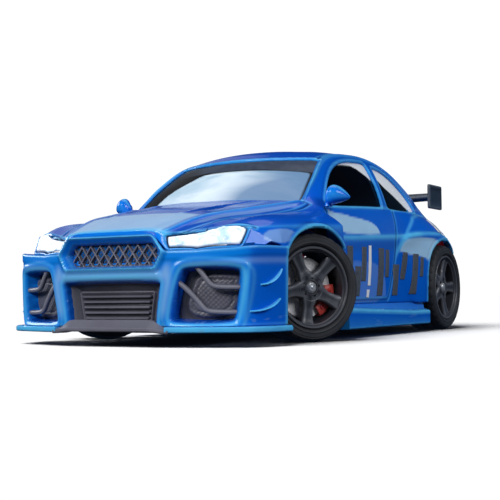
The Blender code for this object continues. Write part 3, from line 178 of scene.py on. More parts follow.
# ------------------------------------------------------------------ materials
def paint_material():
    mat = Shader("blue_paint")
    geometry = mat.node("ShaderNodeNewGeometry")
    _, normal_y, normal_z = mat.xyz(geometry.outputs["Normal"])
    # deep is painted shade, azure and cyan are painted light, pale is a painted reflection
    deep, mid, mid_light = (0.0006, 0.050, 0.42), (0.0006, 0.120, 0.70), (0.0008, 0.135, 0.76)
    painted_light_azure, painted_highlight_cyan, pale = (0.0020, 0.30, 0.98), (0.12, 0.62, 1.0), (0.50, 0.80, 1.0)
    # painted light and shade: lighter azure on faces towards the nose, deep navy on faces that
    # look up
    colour = mat.mix(mat.step(mat.noise(55, detail=3, rough=0.55), low=0.3, high=0.72),
                     mid, mid_light)
    nose_painted_light = mat.step(mat.times(normal_y, -1.0), low=0.35, high=0.98)
    colour = mat.mix(nose_painted_light, colour, painted_light_azure, share=0.62)
    colour = mat.mix(mat.step(normal_z, low=0.45, high=0.95), colour, deep, share=0.72)
    # marks from the mesh: painted pale reflections, painted cyan highlights along edges, painted
    # shade in grooves and gaps
    cloud = mat.vary(mat.noise(140, detail=3, rough=0.6), base=0.78, amount=0.3)
    colour = mat.mix(mat.mark("sheen"), colour, pale, share=cloud, clamp=True)
    cloud = mat.vary(mat.noise(260), base=0.55, amount=0.5)
    colour = mat.mix(mat.mark("edge"), colour, painted_highlight_cyan, share=cloud, clamp=True)
    colour = mat.mix(mat.mark("gap"), colour, (0.0008, 0.012, 0.07), share=0.85, clamp=True)
    flake = mat.math("SUBTRACT", 1.0, mat.step(mat.cells(9000), low=0.0, high=0.22))
    colour = mat.mix(flake, colour, (0.02, 0.32, 0.9), share=0.12)
    # light scuffs low on the car, in short strokes along it
    height = mat.xyz(mat.coords)[2]
    strokes = mat.noise(900, detail=2, rough=0.6, vector=mat.stretch(1, 0.12, 1))
    worn = mat.times(mat.step(strokes, low=0.62, high=0.72),
                     mat.step(mat.times(height, -1.0), low=-0.0075, high=-0.003))
    colour = mat.mix(worn, colour, (0.16, 0.36, 0.62), share=0.35)
    return mat.surface(
        Base_Color=colour, Metallic=0.0, Specular_IOR_Level=0.10,
        Coat_Weight=0.40, Coat_Roughness=0.04, Coat_IOR=1.5,
        Roughness=mat.vary(worn, base=0.27, amount=0.3),
        Normal=mat.bump(mat.noise(4200, detail=1), depth=0.00002, strength=0.12),
        Coat_Normal=mat.bump(mat.noise(900, detail=1.5), depth=0.00006, strength=0.10))


def plastic_material(name, rgb, rough, grain, lift, tint, coat=0.0):
    """Grained plastic. lift lightens its cloudy spots, tint is a painted highlight on its edges,
    and its gaps get painted shade.
    """
    mat = Shader(name)
    spots = mat.noise(120, detail=3, rough=0.6)
    lighter = tuple(min(1, c * (1 + lift) + 0.004) for c in rgb)
    colour = mat.mix(mat.step(spots, low=0.35, high=0.7), rgb, lighter)
    colour = mat.mix(mat.mark("edge"), colour, tint, share=0.75, clamp=True)
    darker = tuple(c * 0.12 for c in rgb)
    colour = mat.mix(mat.mark("gap"), colour, darker, share=0.85, clamp=True)
    fine = mat.noise(grain, detail=2, rough=0.7)
    speck = mat.cells(grain * 0.6)
    return mat.surface(
        Base_Color=colour, Coat_Weight=coat, Coat_Roughness=0.15,
        Roughness=mat.vary(spots, base=rough - 0.06, amount=0.14),
        Normal=mat.bump(mat.vary(speck, base=fine, amount=0.6), depth=0.00005, strength=0.28))


def metal_material(name, rgb, rough, brushed=(1, 1, 30), shine=0.55):
    mat = Shader(name)
    streak = mat.noise(500, detail=3, rough=0.6, vector=mat.stretch(*brushed))
    darker = tuple(c * 0.72 for c in rgb)
    return mat.surface(
        Base_Color=mat.mix(mat.step(streak, low=0.3, high=0.75), darker, rgb),
        Metallic=shine,
        Roughness=mat.vary(streak, base=rough, amount=0.18),
        Normal=mat.bump(streak, depth=0.00002, strength=0.2))


def glass_material():
    """Smoked glazing. The windscreen carries a painted reflection of a pale sky, under a dark
    strip, in a black border.
    """
    mat = Shader("smoked_glazing")
    across, up = mat.mark("glass_u"), mat.mark("glass_v")       # 0..1 over the windscreen
    cloud = mat.noise(95, detail=4, rough=0.55, vector=mat.stretch(0.7, 1.6, 1.2), warp=0.6)
    fine = mat.noise(320, detail=3, rough=0.6, vector=mat.stretch(0.5, 1.0, 1.4))
    sky = mat.mix(mat.step(cloud, low=0.34, high=0.66), (0.36, 0.52, 0.66), (0.66, 0.77, 0.86))
    sky = mat.mix(mat.step(fine, low=0.45, high=0.8), sky, (0.86, 0.9, 0.95), share=0.30)
    # the painted sky reflection darkens towards the car's left, most of all at the foot of the
    # screen
    foot = mat.times(mat.step(up, low=0.5, high=0.0), mat.step(across, low=0.4, high=0.9))
    left = mat.math("ADD", mat.step(across, low=0.50, high=0.95), foot, clamp=True)
    sky = mat.mix(left, sky, (0.075, 0.17, 0.34), share=0.85)
    colour = mat.mix(mat.mark("pale"), (0.0012, 0.0014, 0.002), sky)
    strip = mat.mix(mat.noise(600), (0.030, 0.040, 0.065), (0.055, 0.070, 0.105))
    colour = mat.mix(mat.mark("strip"), colour, strip)
    # side windows: a painted pale band, the reflection of the sky along the roof edge
    cloud = mat.vary(mat.noise(150, detail=3, rough=0.6), base=0.80, amount=0.3)
    colour = mat.mix(mat.mark("band"), colour, (0.66, 0.7, 0.76), share=cloud, clamp=True)
    # the emission makes the painted reflections glow faintly, as painted light
    return mat.surface(
        Base_Color=colour, Roughness=0.16, Specular_IOR_Level=0.02,
        Coat_Weight=0.03, Coat_Roughness=0.04, Emission_Strength=0.16, Emission_Color=colour,
        Normal=mat.bump(mat.noise(350, detail=1), depth=0.00003, strength=0.06))


def lamp_material(name, rgb, glow, tint, lines=1400):
    """A ribbed lens, with lines the scale of its ribs."""
    mat = Shader(name)
    rib = mat.node("ShaderNodeTexWave", wave_type="BANDS", bands_direction="X")
    rib.inputs["Scale"].default_value = lines
    rib.inputs["Distortion"].default_value = 0.4
    mat.link(mat.coords, rib.inputs["Vector"])
    spots = mat.noise(420, detail=3, rough=0.6)
    colour = mat.mix(mat.step(spots, low=0.4, high=0.65), rgb, tint)
    edge_tint = mat.mix(0.5, tint, (0.01, 0.06, 0.2))
    colour = mat.mix(mat.mark("edge"), colour, edge_tint, share=0.9, clamp=True)
    return mat.surface(
        Base_Color=colour, Roughness=0.12, Coat_Weight=0.8, Coat_Roughness=0.04,
        Emission_Strength=glow, Emission_Color=colour,
        Normal=mat.bump(rib.outputs[1], depth=0.00004, strength=0.25))


def rubber_material():
    mat = Shader("tyre_compound")
    dust = mat.noise(160, detail=4, rough=0.6)
    colour = mat.mix(mat.step(dust, low=0.35, high=0.75),
                     (0.019, 0.021, 0.026), (0.036, 0.039, 0.047))
    # painted highlights on the sidewall rings and painted shade in the tread grooves
    colour = mat.mix(mat.mark("edge"), colour, (0.13, 0.145, 0.17), share=0.5, clamp=True)
    colour = mat.mix(mat.mark("gap"), colour, (0.003, 0.003, 0.0035), share=0.8, clamp=True)
    return mat.surface(
        Base_Color=colour, Specular_IOR_Level=0.35,
        Roughness=mat.vary(dust, base=0.5, amount=0.22),
        Normal=mat.bump(mat.noise(5200, detail=3, rough=0.7), depth=0.00006, strength=0.35))


def decal_material(name, rgb, spots, amount):
    """Printed film, speckled with spots where the grit passes amount."""
    mat = Shader(name)
    grit = mat.cells(1700)
    fleck = mat.noise(2600, detail=2, rough=0.7)
    speckle = mat.step(mat.vary(fleck, base=grit, amount=0.55), low=amount, high=amount + 0.12)
    return mat.surface(
        Base_Color=mat.mix(speckle, rgb, spots), Roughness=0.42,
        Normal=mat.bump(grit, depth=0.00005, strength=0.3))


def board_material():
    mat = Shader("circuit_green")
    trace = mat.node("ShaderNodeTexBrick")
    trace.inputs["Scale"].default_value = 420
    trace.inputs["Mortar Size"].default_value = 0.03
    mat.link(mat.coords, trace.inputs["Vector"])
    colour = mat.mix(trace.outputs[1], (0.006, 0.10, 0.035), (0.02, 0.22, 0.08))
    dots = mat.step(mat.cells(700), low=0.0, high=0.12)
    colour = mat.mix(dots, colour, (0.7, 0.6, 0.3), share=0.5)
    return mat.surface(Base_Color=colour, Roughness=0.4, Coat_Weight=0.4,
                       Normal=mat.bump(trace.outputs[1], depth=0.00005, strength=0.3))


def wrap_material():
    mat = Shader("battery_wrap")
    crease = mat.noise(240, detail=4, rough=0.6, vector=mat.stretch(1, 0.25, 1), warp=0.8)
    colour = mat.mix(mat.step(crease, low=0.35, high=0.7), (0.36, 0.38, 0.42), (0.6, 0.62, 0.66))
    return mat.surface(Base_Color=colour, Roughness=0.3, Metallic=0.35,
                       Normal=mat.bump(crease, depth=0.0002, strength=0.35))


def floor_material():
    mat = Shader("studio_floor")
    colour = mat.mix(mat.step(mat.noise(2.0), low=0.3, high=0.7),
                     (0.76, 0.76, 0.762), (0.785, 0.785, 0.788))
    return mat.surface(Base_Color=colour, Roughness=0.75, Specular_IOR_Level=0.1,
                       Normal=mat.bump(mat.noise(60), depth=0.0002, strength=0.05))


Finish = namedtuple("Finish", "material slot")   # slot is the CAD's name for the material

PAINT = Finish(paint_material(), "blue_paint")
GREY = Finish(plastic_material("dark_grey_plastic", (0.066, 0.067, 0.088), rough=0.34,
                               grain=5200, lift=0.5, tint=(0.30, 0.30, 0.38)),
              "dark_grey_plastic")
BLACK = Finish(plastic_material("black_plastic", (0.016, 0.017, 0.021), rough=0.42,
                                grain=6000, lift=0.5, tint=(0.10, 0.105, 0.125)),
               "black_plastic")
SLATE = Finish(plastic_material("slate_plastic", (0.020, 0.028, 0.042), rough=0.42,
                                grain=4200, lift=0.7, tint=(0.10, 0.125, 0.165)),
               "black_plastic")
RIM = Finish(plastic_material("rim_plastic", (0.036, 0.038, 0.050), rough=0.34,
                              grain=5200, lift=0.35, tint=(0.16, 0.17, 0.20)),
             "rim_plastic")
TYRE = Finish(rubber_material(), "tyre_compound")
STEEL = Finish(metal_material("steel", (0.62, 0.64, 0.67), rough=0.22), "steel")
BRASS = Finish(metal_material("brass", (0.78, 0.56, 0.24), rough=0.25), "brass")
DISC = Finish(metal_material("brake_disc", (0.95, 0.96, 1.0), rough=0.30,
                             brushed=(1, 12, 12), shine=0.05), "brake_disc")
RED = Finish(plastic_material("caliper_red", (0.34, 0.006, 0.005), rough=0.32,
                              grain=4800, lift=0.35, tint=(0.75, 0.12, 0.09), coat=0.4),
             "caliper_red")
GLASS = Finish(glass_material(), "smoked_glazing")
LENS = Finish(lamp_material("clear_lens", (0.93, 0.96, 1.0), glow=0.42,
                            tint=(0.50, 0.72, 0.88)), "clear_lens")
LAMP = Finish(lamp_material("lamp_white", (1.0, 0.97, 0.9), glow=0.8,
                            tint=(0.9, 0.9, 0.82)), "lamp_white")
TAIL = Finish(lamp_material("tail_lamp_red", (0.55, 0.008, 0.008), glow=0.06,
                            tint=(0.85, 0.03, 0.02), lines=900), "tail_lamp_red")
BOARD = Finish(board_material(), "circuit_green")
CELL = Finish(wrap_material(), "battery_wrap")
NYLON = Finish(plastic_material("white_nylon", (0.62, 0.62, 0.56), rough=0.4,
                                grain=4200, lift=0.12, tint=(0.8, 0.8, 0.76)), "white_nylon")
INK = Finish(decal_material("decal_black", (0.010, 0.011, 0.013),
                            spots=(0.085, 0.095, 0.115), amount=0.42), "black_plastic")
WHITE = Finish(decal_material("decal_white", (0.62, 0.68, 0.74),
                              spots=(0.86, 0.9, 0.94), amount=0.2), "lamp_white")
SILVER = Finish(decal_material("decal_silver", (0.5, 0.56, 0.62),
                               spots=(0.74, 0.78, 0.82), amount=0.3), "lamp_white")


# ------------------------------------------------------------------ curves and profiles
def ease(value, low, high):
    """Smooth 0 to 1 as value goes from low to high; low may be the greater."""
    part = np.clip((value - low) / (high - low), 0, 1)
    return part * part * (3 - 2 * part)


def span(value, start, full, fade, end):
    """Rises from start to full, then falls from fade to end."""
    return ease(value, start, full) * ease(-value, -end, -fade)


def bell(value, width):
    return np.exp(-((value / width) ** 2))


def fillet(dist, radius):
    """Drop of a rounded edge at a distance before it."""
    over = np.clip(radius - dist, 0, radius)
    return radius - np.sqrt(np.maximum(radius * radius - over * over, 0))


def around(count):
    """Angles of a full turn."""
    return np.linspace(0, 2 * np.pi, count, endpoint=False)


def chaikin(points, times=3, closed=True):
    """Rounds an outline by cutting its corners."""
    now = np.array(points, float)
    for _ in range(times):
        after = np.roll(now, -1, axis=0) if closed else now[1:]
        before = now if closed else now[:-1]
        new = np.empty((len(before) * 2, now.shape[1]))
        new[0::2] = before * 0.75 + after * 0.25
        new[1::2] = before * 0.25 + after * 0.75
        now = new if closed else np.vstack([now[:1], new, now[-1:]])
    return now


def spline(points, count):
    """A smooth curve through the points, with count samples a span."""
    mid = np.array(points, float)
    all_points = np.vstack([2 * mid[0] - mid[1], mid, 2 * mid[-1] - mid[-2]])
    t = np.linspace(0, 1, count, endpoint=False)[:, None]
    out = []
    for a, b, c, d in zip(all_points, all_points[1:], all_points[2:], all_points[3:]):
        out.append(0.5 * (2 * b + (c - a) * t + (2 * a - 5 * b + 4 * c - d) * t**2
                          + (3 * b - a - 3 * c + d) * t**3))
    return np.vstack(out + [mid[-1:]])


def line_distance(x, y, points, closed=False):
    """Distance from each point to a polyline."""
    points = np.asarray(points, float)
    best = np.full(x.shape, 1e9)
    starts = points if closed else points[:-1]
    ends = np.roll(points, -1, axis=0) if closed else points[1:]
    for (ax, ay), (bx, by) in zip(starts, ends):
        dx, dy = bx - ax, by - ay
        t = np.clip(((x - ax) * dx + (y - ay) * dy) / (dx * dx + dy * dy + 1e-12), 0, 1)
        best = np.minimum(best, (x - ax - t * dx) ** 2 + (y - ay - t * dy) ** 2)
    return np.sqrt(best)


def shape_distance(x, y, points):
    """Signed distance to a closed outline, negative inside."""
    points = np.asarray(points, float)
    inside = np.zeros(x.shape, bool)
    for (ax, ay), (bx, by) in zip(points, np.roll(points, -1, axis=0)):
        if ay != by:
            cross = (ay > y) != (by > y)
            inside ^= cross & (x < (bx - ax) * (y - ay) / (by - ay) + ax)
    dist = line_distance(x, y, points, closed=True)
    return np.where(inside, -dist, dist)


# ------------------------------------------------------------------ sheets and objects
# A sheet is (points in mm, faces, marks), where marks are named values for each point.
def grid_faces(rows, cols, flip=False, wrap_rows=False, wrap_cols=False):
    i, j = np.meshgrid(np.arange(rows if wrap_rows else rows - 1),
                       np.arange(cols if wrap_cols else cols - 1), indexing="ij")
    i_next, j_next = (i + 1) % rows, (j + 1) % cols
    corners = [i * cols + j, i_next * cols + j, i_next * cols + j_next, i * cols + j_next]
    faces = np.stack(corners, -1).reshape(-1, 4)
    return faces[:, ::-1] if flip else faces


def compact(points, faces, marks):
    """A sheet from grids of points and marks, without the points that no face uses."""
    points = points.reshape(-1, 3)
    used = np.unique(np.concatenate([np.ravel(face) for face in faces]))
    renumber = -np.ones(len(points), int)
    renumber[used] = np.arange(len(used))
    faces = [[int(renumber[i]) for i in face] for face in faces]
    return points[used], faces, {key: np.ravel(mark)[used] for key, mark in marks.items()}


def mirror_sheet(sheet):
    """Joins a left half to its mirror image, welded on the centre line."""
    points, faces, marks = sheet
    centre = np.abs(points[:, 0]) < 1e-4
    points = points.copy()
    points[centre, 0] = 0
    count = len(points)
    index = np.where(centre, np.arange(count), count + np.cumsum(~centre) - 1)
    other = points[~centre] * np.array([-1, 1, 1])
    faces = faces + [tuple(int(index[i]) for i in face)[::-1] for face in faces]
    marks = {key: np.concatenate([mark, mark[~centre]]) for key, mark in marks.items()}
    return np.vstack([points, other]), faces, marks


def merge(*sheets):
    """Several sheets as one; a mark that a sheet lacks is 0 there."""
    faces, start = [], 0
    for points, sheet_faces, _ in sheets:
        faces += [[int(i) + start for i in face] for face in sheet_faces]
        start += len(points)
    marks = {}
    for key in sorted({key for sheet in sheets for key in sheet[2]}):
        marks[key] = np.concatenate([np.ravel(marked[key]) if key in marked
                                     else np.zeros(len(points)) for points, _, marked in sheets])
    return np.vstack([points for points, _, _ in sheets]), faces, marks


def shift(x, y, z):
    return Matrix.Translation(Vector((x, y, z)) * MM)


def turn(degrees, axis):
    return Matrix.Rotation(math.radians(degrees), 4, axis)


def move(sheet, matrix):
    """Applies a matrix in metres to a sheet in mm."""
    points, faces, marks = sheet
    grid = np.array(matrix)
    return points @ grid[:3, :3].T + grid[:3, 3] / MM, faces, marks


def ring_sheet(rings, marks=None, kind="edge"):
    """A closed solid through rings of equal point count."""
    rings = np.asarray(rings, float)
    rows, cols = rings.shape[:2]
    faces = grid_faces(rows, cols, wrap_cols=True).tolist()
    faces.append(range(cols))
    faces.append(range((rows - 1) * cols, rows * cols)[::-1])
    marked = {} if marks is None else {kind: np.broadcast_to(marks, (rows, cols)).ravel()}
    return rings.reshape(-1, 3), faces, marked


def turned_grid(profile, steps):
    """Angle column, and grids of radius and offset, of a (radius, offset) profile about X."""
    profile = np.asarray(profile, float)
    return (around(steps)[:, None], np.tile(profile[:, 0], (steps, 1)),
            np.tile(profile[:, 1], (steps, 1)))


def turned_sheet(angle, radius, offset, **marks):
    points = np.stack([offset, radius * np.cos(angle), radius * np.sin(angle)], -1)
    faces = grid_faces(*radius.shape, wrap_rows=True, wrap_cols=True).tolist()
    marks = {key: np.broadcast_to(mark, radius.shape).ravel() for key, mark in marks.items()}
    return points.reshape(-1, 3), faces, marks


def revolve(profile, steps=64, **marks):
    return turned_sheet(*turned_grid(profile, steps), **marks)


def new_object(name, sheet, finish, smooth=40, replaces=None, body="chassis"):
    """smooth is the angle in degrees from which edges stay sharp."""
    points, faces, marks = sheet
    mesh = bpy.data.meshes.new(name)
    mesh.from_pydata([tuple(map(float, p)) for p in np.asarray(points) * MM], [],
                     [tuple(map(int, face)) for face in faces])
    for key, values in marks.items():
        attribute = mesh.attributes.new(key, "FLOAT", "POINT")
        attribute.data.foreach_set("value", np.asarray(values, np.float32).ravel())
    mesh.materials.append(finish.material)
    thing = bpy.data.objects.new(name, mesh)
    scene.collection.objects.link(thing)
    mesh.shade_smooth()
    mesh.set_sharp_from_angle(angle=math.radians(smooth))
    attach(thing, body)
    if replaces:
        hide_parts(replaces)
    return thing


def tidy(thing, weld=True):
    """Welds doubled points and turns every face outwards."""
    mesh = bmesh.new()
    mesh.from_mesh(thing.data)
    if weld:
        bmesh.ops.remove_doubles(mesh, verts=mesh.verts, dist=1e-7)
    bmesh.ops.recalc_face_normals(mesh, faces=mesh.faces)
    mesh.to_mesh(thing.data)
    mesh.free()
    return thing


def loft(name, rings, finish, marks=None, kind="edge", smooth=40, replaces=None):
    return tidy(new_object(name, ring_sheet(rings, marks, kind), finish, smooth, replaces))


def thicken(thing, wall, offset=-1.0):
    solid = thing.modifiers.new("wall", "SOLIDIFY")
    solid.thickness, solid.offset = wall * MM, offset


# ------------------------------------------------------------------ body surface, as in the CAD
# The left half is a grid of numbers: row counts the stations, 0 at the nose to 14 at the tail,
# and col counts the body lines, 0 at the foot of the side to 4 on the centre line.
LAST_ROW, CENTRE = 14, 4
STATIONS = [  # (x, y, z) of lines 0 to 4
    ((22.3, -43.2, 15.1), (19.9, -46.2, 14.8), (14.3, -49.7, 14.45), (9.9, -51.2, 14.5),
     (0.0, -52.0, 17.0)),
    ((22.8, -42.2, 15.6), (20.2, -44.6, 17.7), (14.6, -48.0, 17.2), (9.0, -50.8, 17.0),
     (0.0, -51.6, 17.5)),
    ((23.7, -40.5, 15.1), (22.6, -40.0, 18.0), (18.4, -41.0, 19.5), (10.8, -43.5, 19.6),
     (0.0, -44.0, 20.1)),
    ((24.3, -29.5, 8.0), (24.2, -29.5, 18.4), (20.0, -30.5, 20.8), (13.6, -34.0, 21.3),
     (0.0, -35.0, 22.0)),
    ((24.5, -20.75, 8.0), (24.4, -20.75, 18.9), (20.3, -21.8, 21.6), (15.7, -27.0, 22.4),
     (0.0, -28.5, 23.1)),
    ((22.4, -20.35, 5.9), (21.9, -20.35, 17.3), (20.1, -19.4, 22.2), (17.4, -20.8, 23.4),
     (0.0, -24.6, 23.9)),
    ((22.3, -12.0, 5.9), (21.7, -12.0, 17.5), (19.9, -13.0, 22.8), (16.3, -15.0, 27.9),
     (0.0, -18.2, 28.9)),
    ((22.3, -4.0, 5.9), (21.7, -4.0, 17.9), (19.8, -5.0, 23.2), (14.9, -8.6, 31.9),
     (0.0, -10.2, 33.3)),
    ((22.3, 4.0, 5.9), (21.7, 4.0, 18.3), (19.7, 4.0, 23.6), (14.1, 4.0, 33.9),
     (0.0, 4.0, 35.3)),
    ((22.3, 12.0, 5.9), (21.7, 11.5, 18.7), (19.5, 12.5, 23.9), (13.9, 14.0, 33.8),
     (0.0, 14.0, 35.1)),
    ((22.7, 20.0, 5.9), (22.1, 19.0, 19.3), (19.2, 21.5, 23.9), (13.8, 23.5, 32.3),
     (0.0, 23.5, 33.6)),
    ((23.5, 30.0, 8.0), (22.5, 28.5, 19.1), (18.6, 30.5, 23.2), (14.0, 32.5, 29.1),
     (0.0, 33.0, 30.2)),
    ((22.2, 38.8, 12.1), (20.9, 38.0, 18.6), (17.6, 39.6, 22.2), (14.8, 41.0, 24.4),
     (0.0, 42.0, 25.0)),
    ((19.9, 44.5, 12.1), (19.0, 44.9, 17.9), (16.7, 46.4, 21.2), (14.3, 48.2, 22.6),
     (0.0, 50.2, 23.4)),
    ((19.4, 45.8, 12.1), (18.3, 46.6, 13.2), (16.4, 48.6, 13.6), (13.4, 50.4, 13.8),
     (0.0, 51.9, 14.0)),
]
# Stations where each line turns sharply
CORNERS = {0: (2, 4, 5), 1: (1, 4, 5, 13), 2: (1, 13), 3: (1, 5, 13), 4: (1, 5, 13)}
# Outward bow of the strip above each line: (row, mm)
BULGE = {
    0: [(0, 0.1), (5, 0.25), (10, 0.35), (14, 0.2)],
    1: [(0, 0.2), (1, 0.3), (3, 0.5), (5, 0.15), (9, 0.2), (11, 0.5), (14, 0.2)],
    2: [(0, 0.2), (1, -0.1), (3, -0.55), (5, 0.1), (7, 0.5), (9, 0.5), (12, -0.1), (14, 0.2)],
}


def line_point(line, row):
    """Point of a body line at a fractional station, on a spline that breaks at the corners."""
    index = min(int(row), LAST_ROW - 1)
    t = row - index
    near = [Vector(STATIONS[max(0, min(LAST_ROW, index + d))][line]) for d in (-1, 0, 1, 2)]
    gaps = [max((near[j + 1] - near[j]).length, 1e-6) for j in range(3)]

    def tangent(j):
        station = index + j - 1
        if station in (0, LAST_ROW) or station in CORNERS[line]:
            return near[2] - near[1]
        before, after = gaps[j - 1], gaps[j]
        slope = ((near[j] - near[j - 1]) / before * after
                 + (near[j + 1] - near[j]) / after * before) / (before + after) * gaps[1]
        if slope.length > 1.5 * gaps[1]:
            slope *= 1.5 * gaps[1] / slope.length
        return slope

    return (near[1] * (2 * t**3 - 3 * t**2 + 1) + tangent(1) * (t**3 - 2 * t**2 + t)
            + near[2] * (-2 * t**3 + 3 * t**2) + tangent(2) * (t**3 - t**2))


TABLE_SIZE = 2800
LINES = np.array([[tuple(line_point(k, LAST_ROW * i / TABLE_SIZE)) for k in range(5)]
                  for i in range(TABLE_SIZE + 1)])


def lines(row):
    """The five line points at each row, from the table."""
    place = np.clip(np.asarray(row, float) / LAST_ROW * TABLE_SIZE, 0, TABLE_SIZE - 1e-6)
    index = place.astype(int)
    part = (place - index)[..., None, None]
    return LINES[index] * (1 - part) + LINES[index + 1] * part


def surf(row, col):
    """Points of the CAD's outer surface on the left half, mm."""
    row, col = np.broadcast_arrays(np.asarray(row, float), np.asarray(col, float))
    at_row = lines(row)
    band = np.clip(col.astype(int), 0, 3)
    t = (col - band)[..., None]
    low = np.take_along_axis(at_row, band[..., None, None], axis=-2)[..., 0, :]
    high = np.take_along_axis(at_row, band[..., None, None] + 1, axis=-2)[..., 0, :]
    rise = high - low
    out = np.stack([rise[..., 2], np.zeros_like(row), -rise[..., 0]], -1)
    out /= np.maximum(np.linalg.norm(out, axis=-1, keepdims=True), 1e-9)
    bow = np.zeros_like(row)
    for k, table in BULGE.items():
        bow = np.where(band == k, np.interp(row, *zip(*table)), bow)
    side = low + rise * t + out * (bow[..., None] * 4 * t * (1 - t))
    # the top strip is a crown that flattens towards the nose
    left = 1 - t[..., 0]
    drop = np.maximum(left, 0) ** (12 - 9.8 * np.minimum(1.0, row / 2))
    # over the grille the lower edge follows the flanks of the hexagon
    bend = (left - 0.80) / 0.20
    flank = 1 - np.clip(row / 0.9, 0, 1)
    drop = drop + (0.5 * (bend + np.sqrt(bend * bend + 0.012)) - drop) * flank
    top = np.stack([low[..., 0] * left,
                    high[..., 1] + (low[..., 1] - high[..., 1]) * left * left,
                    high[..., 2] + (low[..., 2] - high[..., 2]) * drop], -1)
    return np.where((band == 3)[..., None], top, side)


def normals(row, col, reach=0.015):
    row_low, row_high = np.clip(row - reach, 0, LAST_ROW), np.clip(row + reach, 0, LAST_ROW)
    col_low, col_high = np.clip(col - reach, 0, CENTRE), np.clip(col + reach, 0, CENTRE)
    out = np.cross(surf(row_high, col) - surf(row_low, col),
                   surf(row, col_high) - surf(row, col_low))
    out[..., 0] = np.where(col >= 3.999, 0, out[..., 0])
    return out / np.maximum(np.linalg.norm(out, axis=-1, keepdims=True), 1e-12)


# ------------------------------------------------------------------ openings of the body
def row_col_box(rows, cols, radius):
    """Signed distance to a rounded rectangle in rows and cols, in mm on the surface."""
    row_mid, row_half = (rows[0] + rows[1]) / 2, (rows[1] - rows[0]) / 2
    col_mid, col_half = (cols[0] + cols[1]) / 2, (cols[1] - cols[0]) / 2

    def field(row, col):
        reach = 0.02
        ahead = surf(np.clip(row + reach, 0, LAST_ROW), col)
        behind = surf(np.clip(row - reach, 0, LAST_ROW), col)
        above = surf(row, np.clip(col + reach, 0, CENTRE))
        below = surf(row, np.clip(col - reach, 0, CENTRE))
        row_mm = np.linalg.norm(ahead - behind, axis=-1) / (2 * reach)
        col_mm = np.linalg.norm(above - below, axis=-1) / (2 * reach)
        over_row = (np.abs(row - row_mid) - row_half) * row_mm + radius
        over_col = (np.abs(col - col_mid) - col_half) * np.maximum(col_mm, 1.0) + radius
        outside = np.hypot(np.maximum(over_row, 0), np.maximum(over_col, 0))
        return outside + np.minimum(np.maximum(over_row, over_col), 0) - radius

    return field


def row_col_shape(points, row_mm, col_mm):
    """Distance to an outline in rows and cols, stretched to mm."""
    points = np.asarray(points) * np.array([row_mm, col_mm])
    return lambda row, col: shape_distance(row * row_mm, col * col_mm, points)


def side_shape(points, col_low, col_high):
    """Distance to a (y, z) outline seen from the side, between two cols."""
    def field(row, col):
        place = surf(row, col)
        dist = shape_distance(place[..., 1], place[..., 2], points)
        return np.where((col < col_high) & (col > col_low), dist, 9.0)

    return field


ARCH_FOOT_Z = -3.0


def arch_curve(arch, count=90):
    """(y, z) points of a wheel arch, from its rear end to its front end."""
    centre, half, tall = arch
    points = []
    for i in range(count + 1):
        angle = math.pi * i / count
        cosine, sine = math.cos(angle), max(math.sin(angle), 0)
        reach = math.copysign(abs(cosine) ** (2 / ARCH_POWER), cosine)
        points.append((centre + half * reach, AXLE_Z + tall * sine ** (2 / ARCH_POWER)))
    return points


def front_arch_outline():
    centre, half, tall = FRONT_ARCH
    front = centre - half * 0.985
    # behind the axle the arch closes in on the room that the steered tyre needs
    rear = [(-17.2, 8.7), (-17.9, 11.0), (-19.0, 12.9), (-20.2, 14.4), (-20.9, 15.1),
            (-21.6, 15.7), (-22.6, 16.35), (-23.6, 16.9), (-24.6, 17.3), (-25.6, 17.65),
            (-26.6, 17.95)]
    arc = [p for p in arch_curve(FRONT_ARCH) if front < p[0] < -27.5]
    square_end = [(front, AXLE_Z + tall * math.sin(math.radians(170))), (front, ARCH_FOOT_Z)]
    return np.array([(centre + half, ARCH_FOOT_Z)] + rear + arc + square_end)


def rear_arch_outline():
    centre, half, _ = REAR_ARCH
    return np.array([(centre + half, ARCH_FOOT_Z)] + arch_curve(REAR_ARCH)
                    + [(centre - half, ARCH_FOOT_Z)])


DOOR_GLASS = chaikin([  # (y, z)
    (-16.9, 23.05), (-16.2, 23.7), (-14.9, 24.8), (-12.8, 26.6), (-10.5, 28.35), (-8.1, 29.85),
    (-5.4, 31.0), (-2.4, 31.8), (0.8, 32.3), (4.6, 32.65), (7.6, 32.8), (9.0, 32.75),
    (9.3, 32.2), (8.85, 30.8), (8.3, 28.2), (7.5, 25.4), (7.1, 24.25), (6.6, 24.05),
    (1.0, 23.81), (-3.3, 23.6), (-7.8, 23.34), (-14.0, 23.02)], 2)
QUARTER_GLASS = chaikin([  # (y, z)
    (9.7, 24.0), (10.0, 25.6), (10.6, 28.2), (11.25, 30.5), (11.75, 31.85), (12.2, 32.2),
    (14.5, 32.15), (17.0, 31.95), (19.3, 31.4), (22.0, 30.3), (24.2, 28.9), (25.9, 27.2),
    (26.5, 25.9), (26.4, 24.9), (25.4, 24.25), (22.0, 24.05), (14.0, 23.95)], 2)
SCREEN_ROWS, SCREEN_COL = (5.16, 6.86), 3.12      # windscreen without its border
SCREEN_ROW_MM = 6.6
SCREEN = chaikin([  # (row, col)
    (5.02, 4.6), (5.02, 3.6), (5.02, 3.2), (5.02, 3.06), (5.12, 3.035), (5.9, 3.03),
    (6.5, 3.035), (6.86, 3.04), (6.92, 3.06), (6.90, 3.12), (6.84, 3.22), (6.77, 3.37),
    (6.715, 3.6), (6.69, 3.85), (6.68, 4.6)], 1)
HEADLAMP = chaikin([  # (row, col)
    (0.07, 2.0), (0.07, 2.86), (0.16, 2.92), (0.74, 2.92), (0.84, 2.86), (0.93, 2.35),
    (1.06, 1.85), (1.17, 1.5), (1.13, 1.2), (0.99, 1.03), (0.85, 0.99), (0.12, 1.02),
    (0.07, 1.1)], 1)
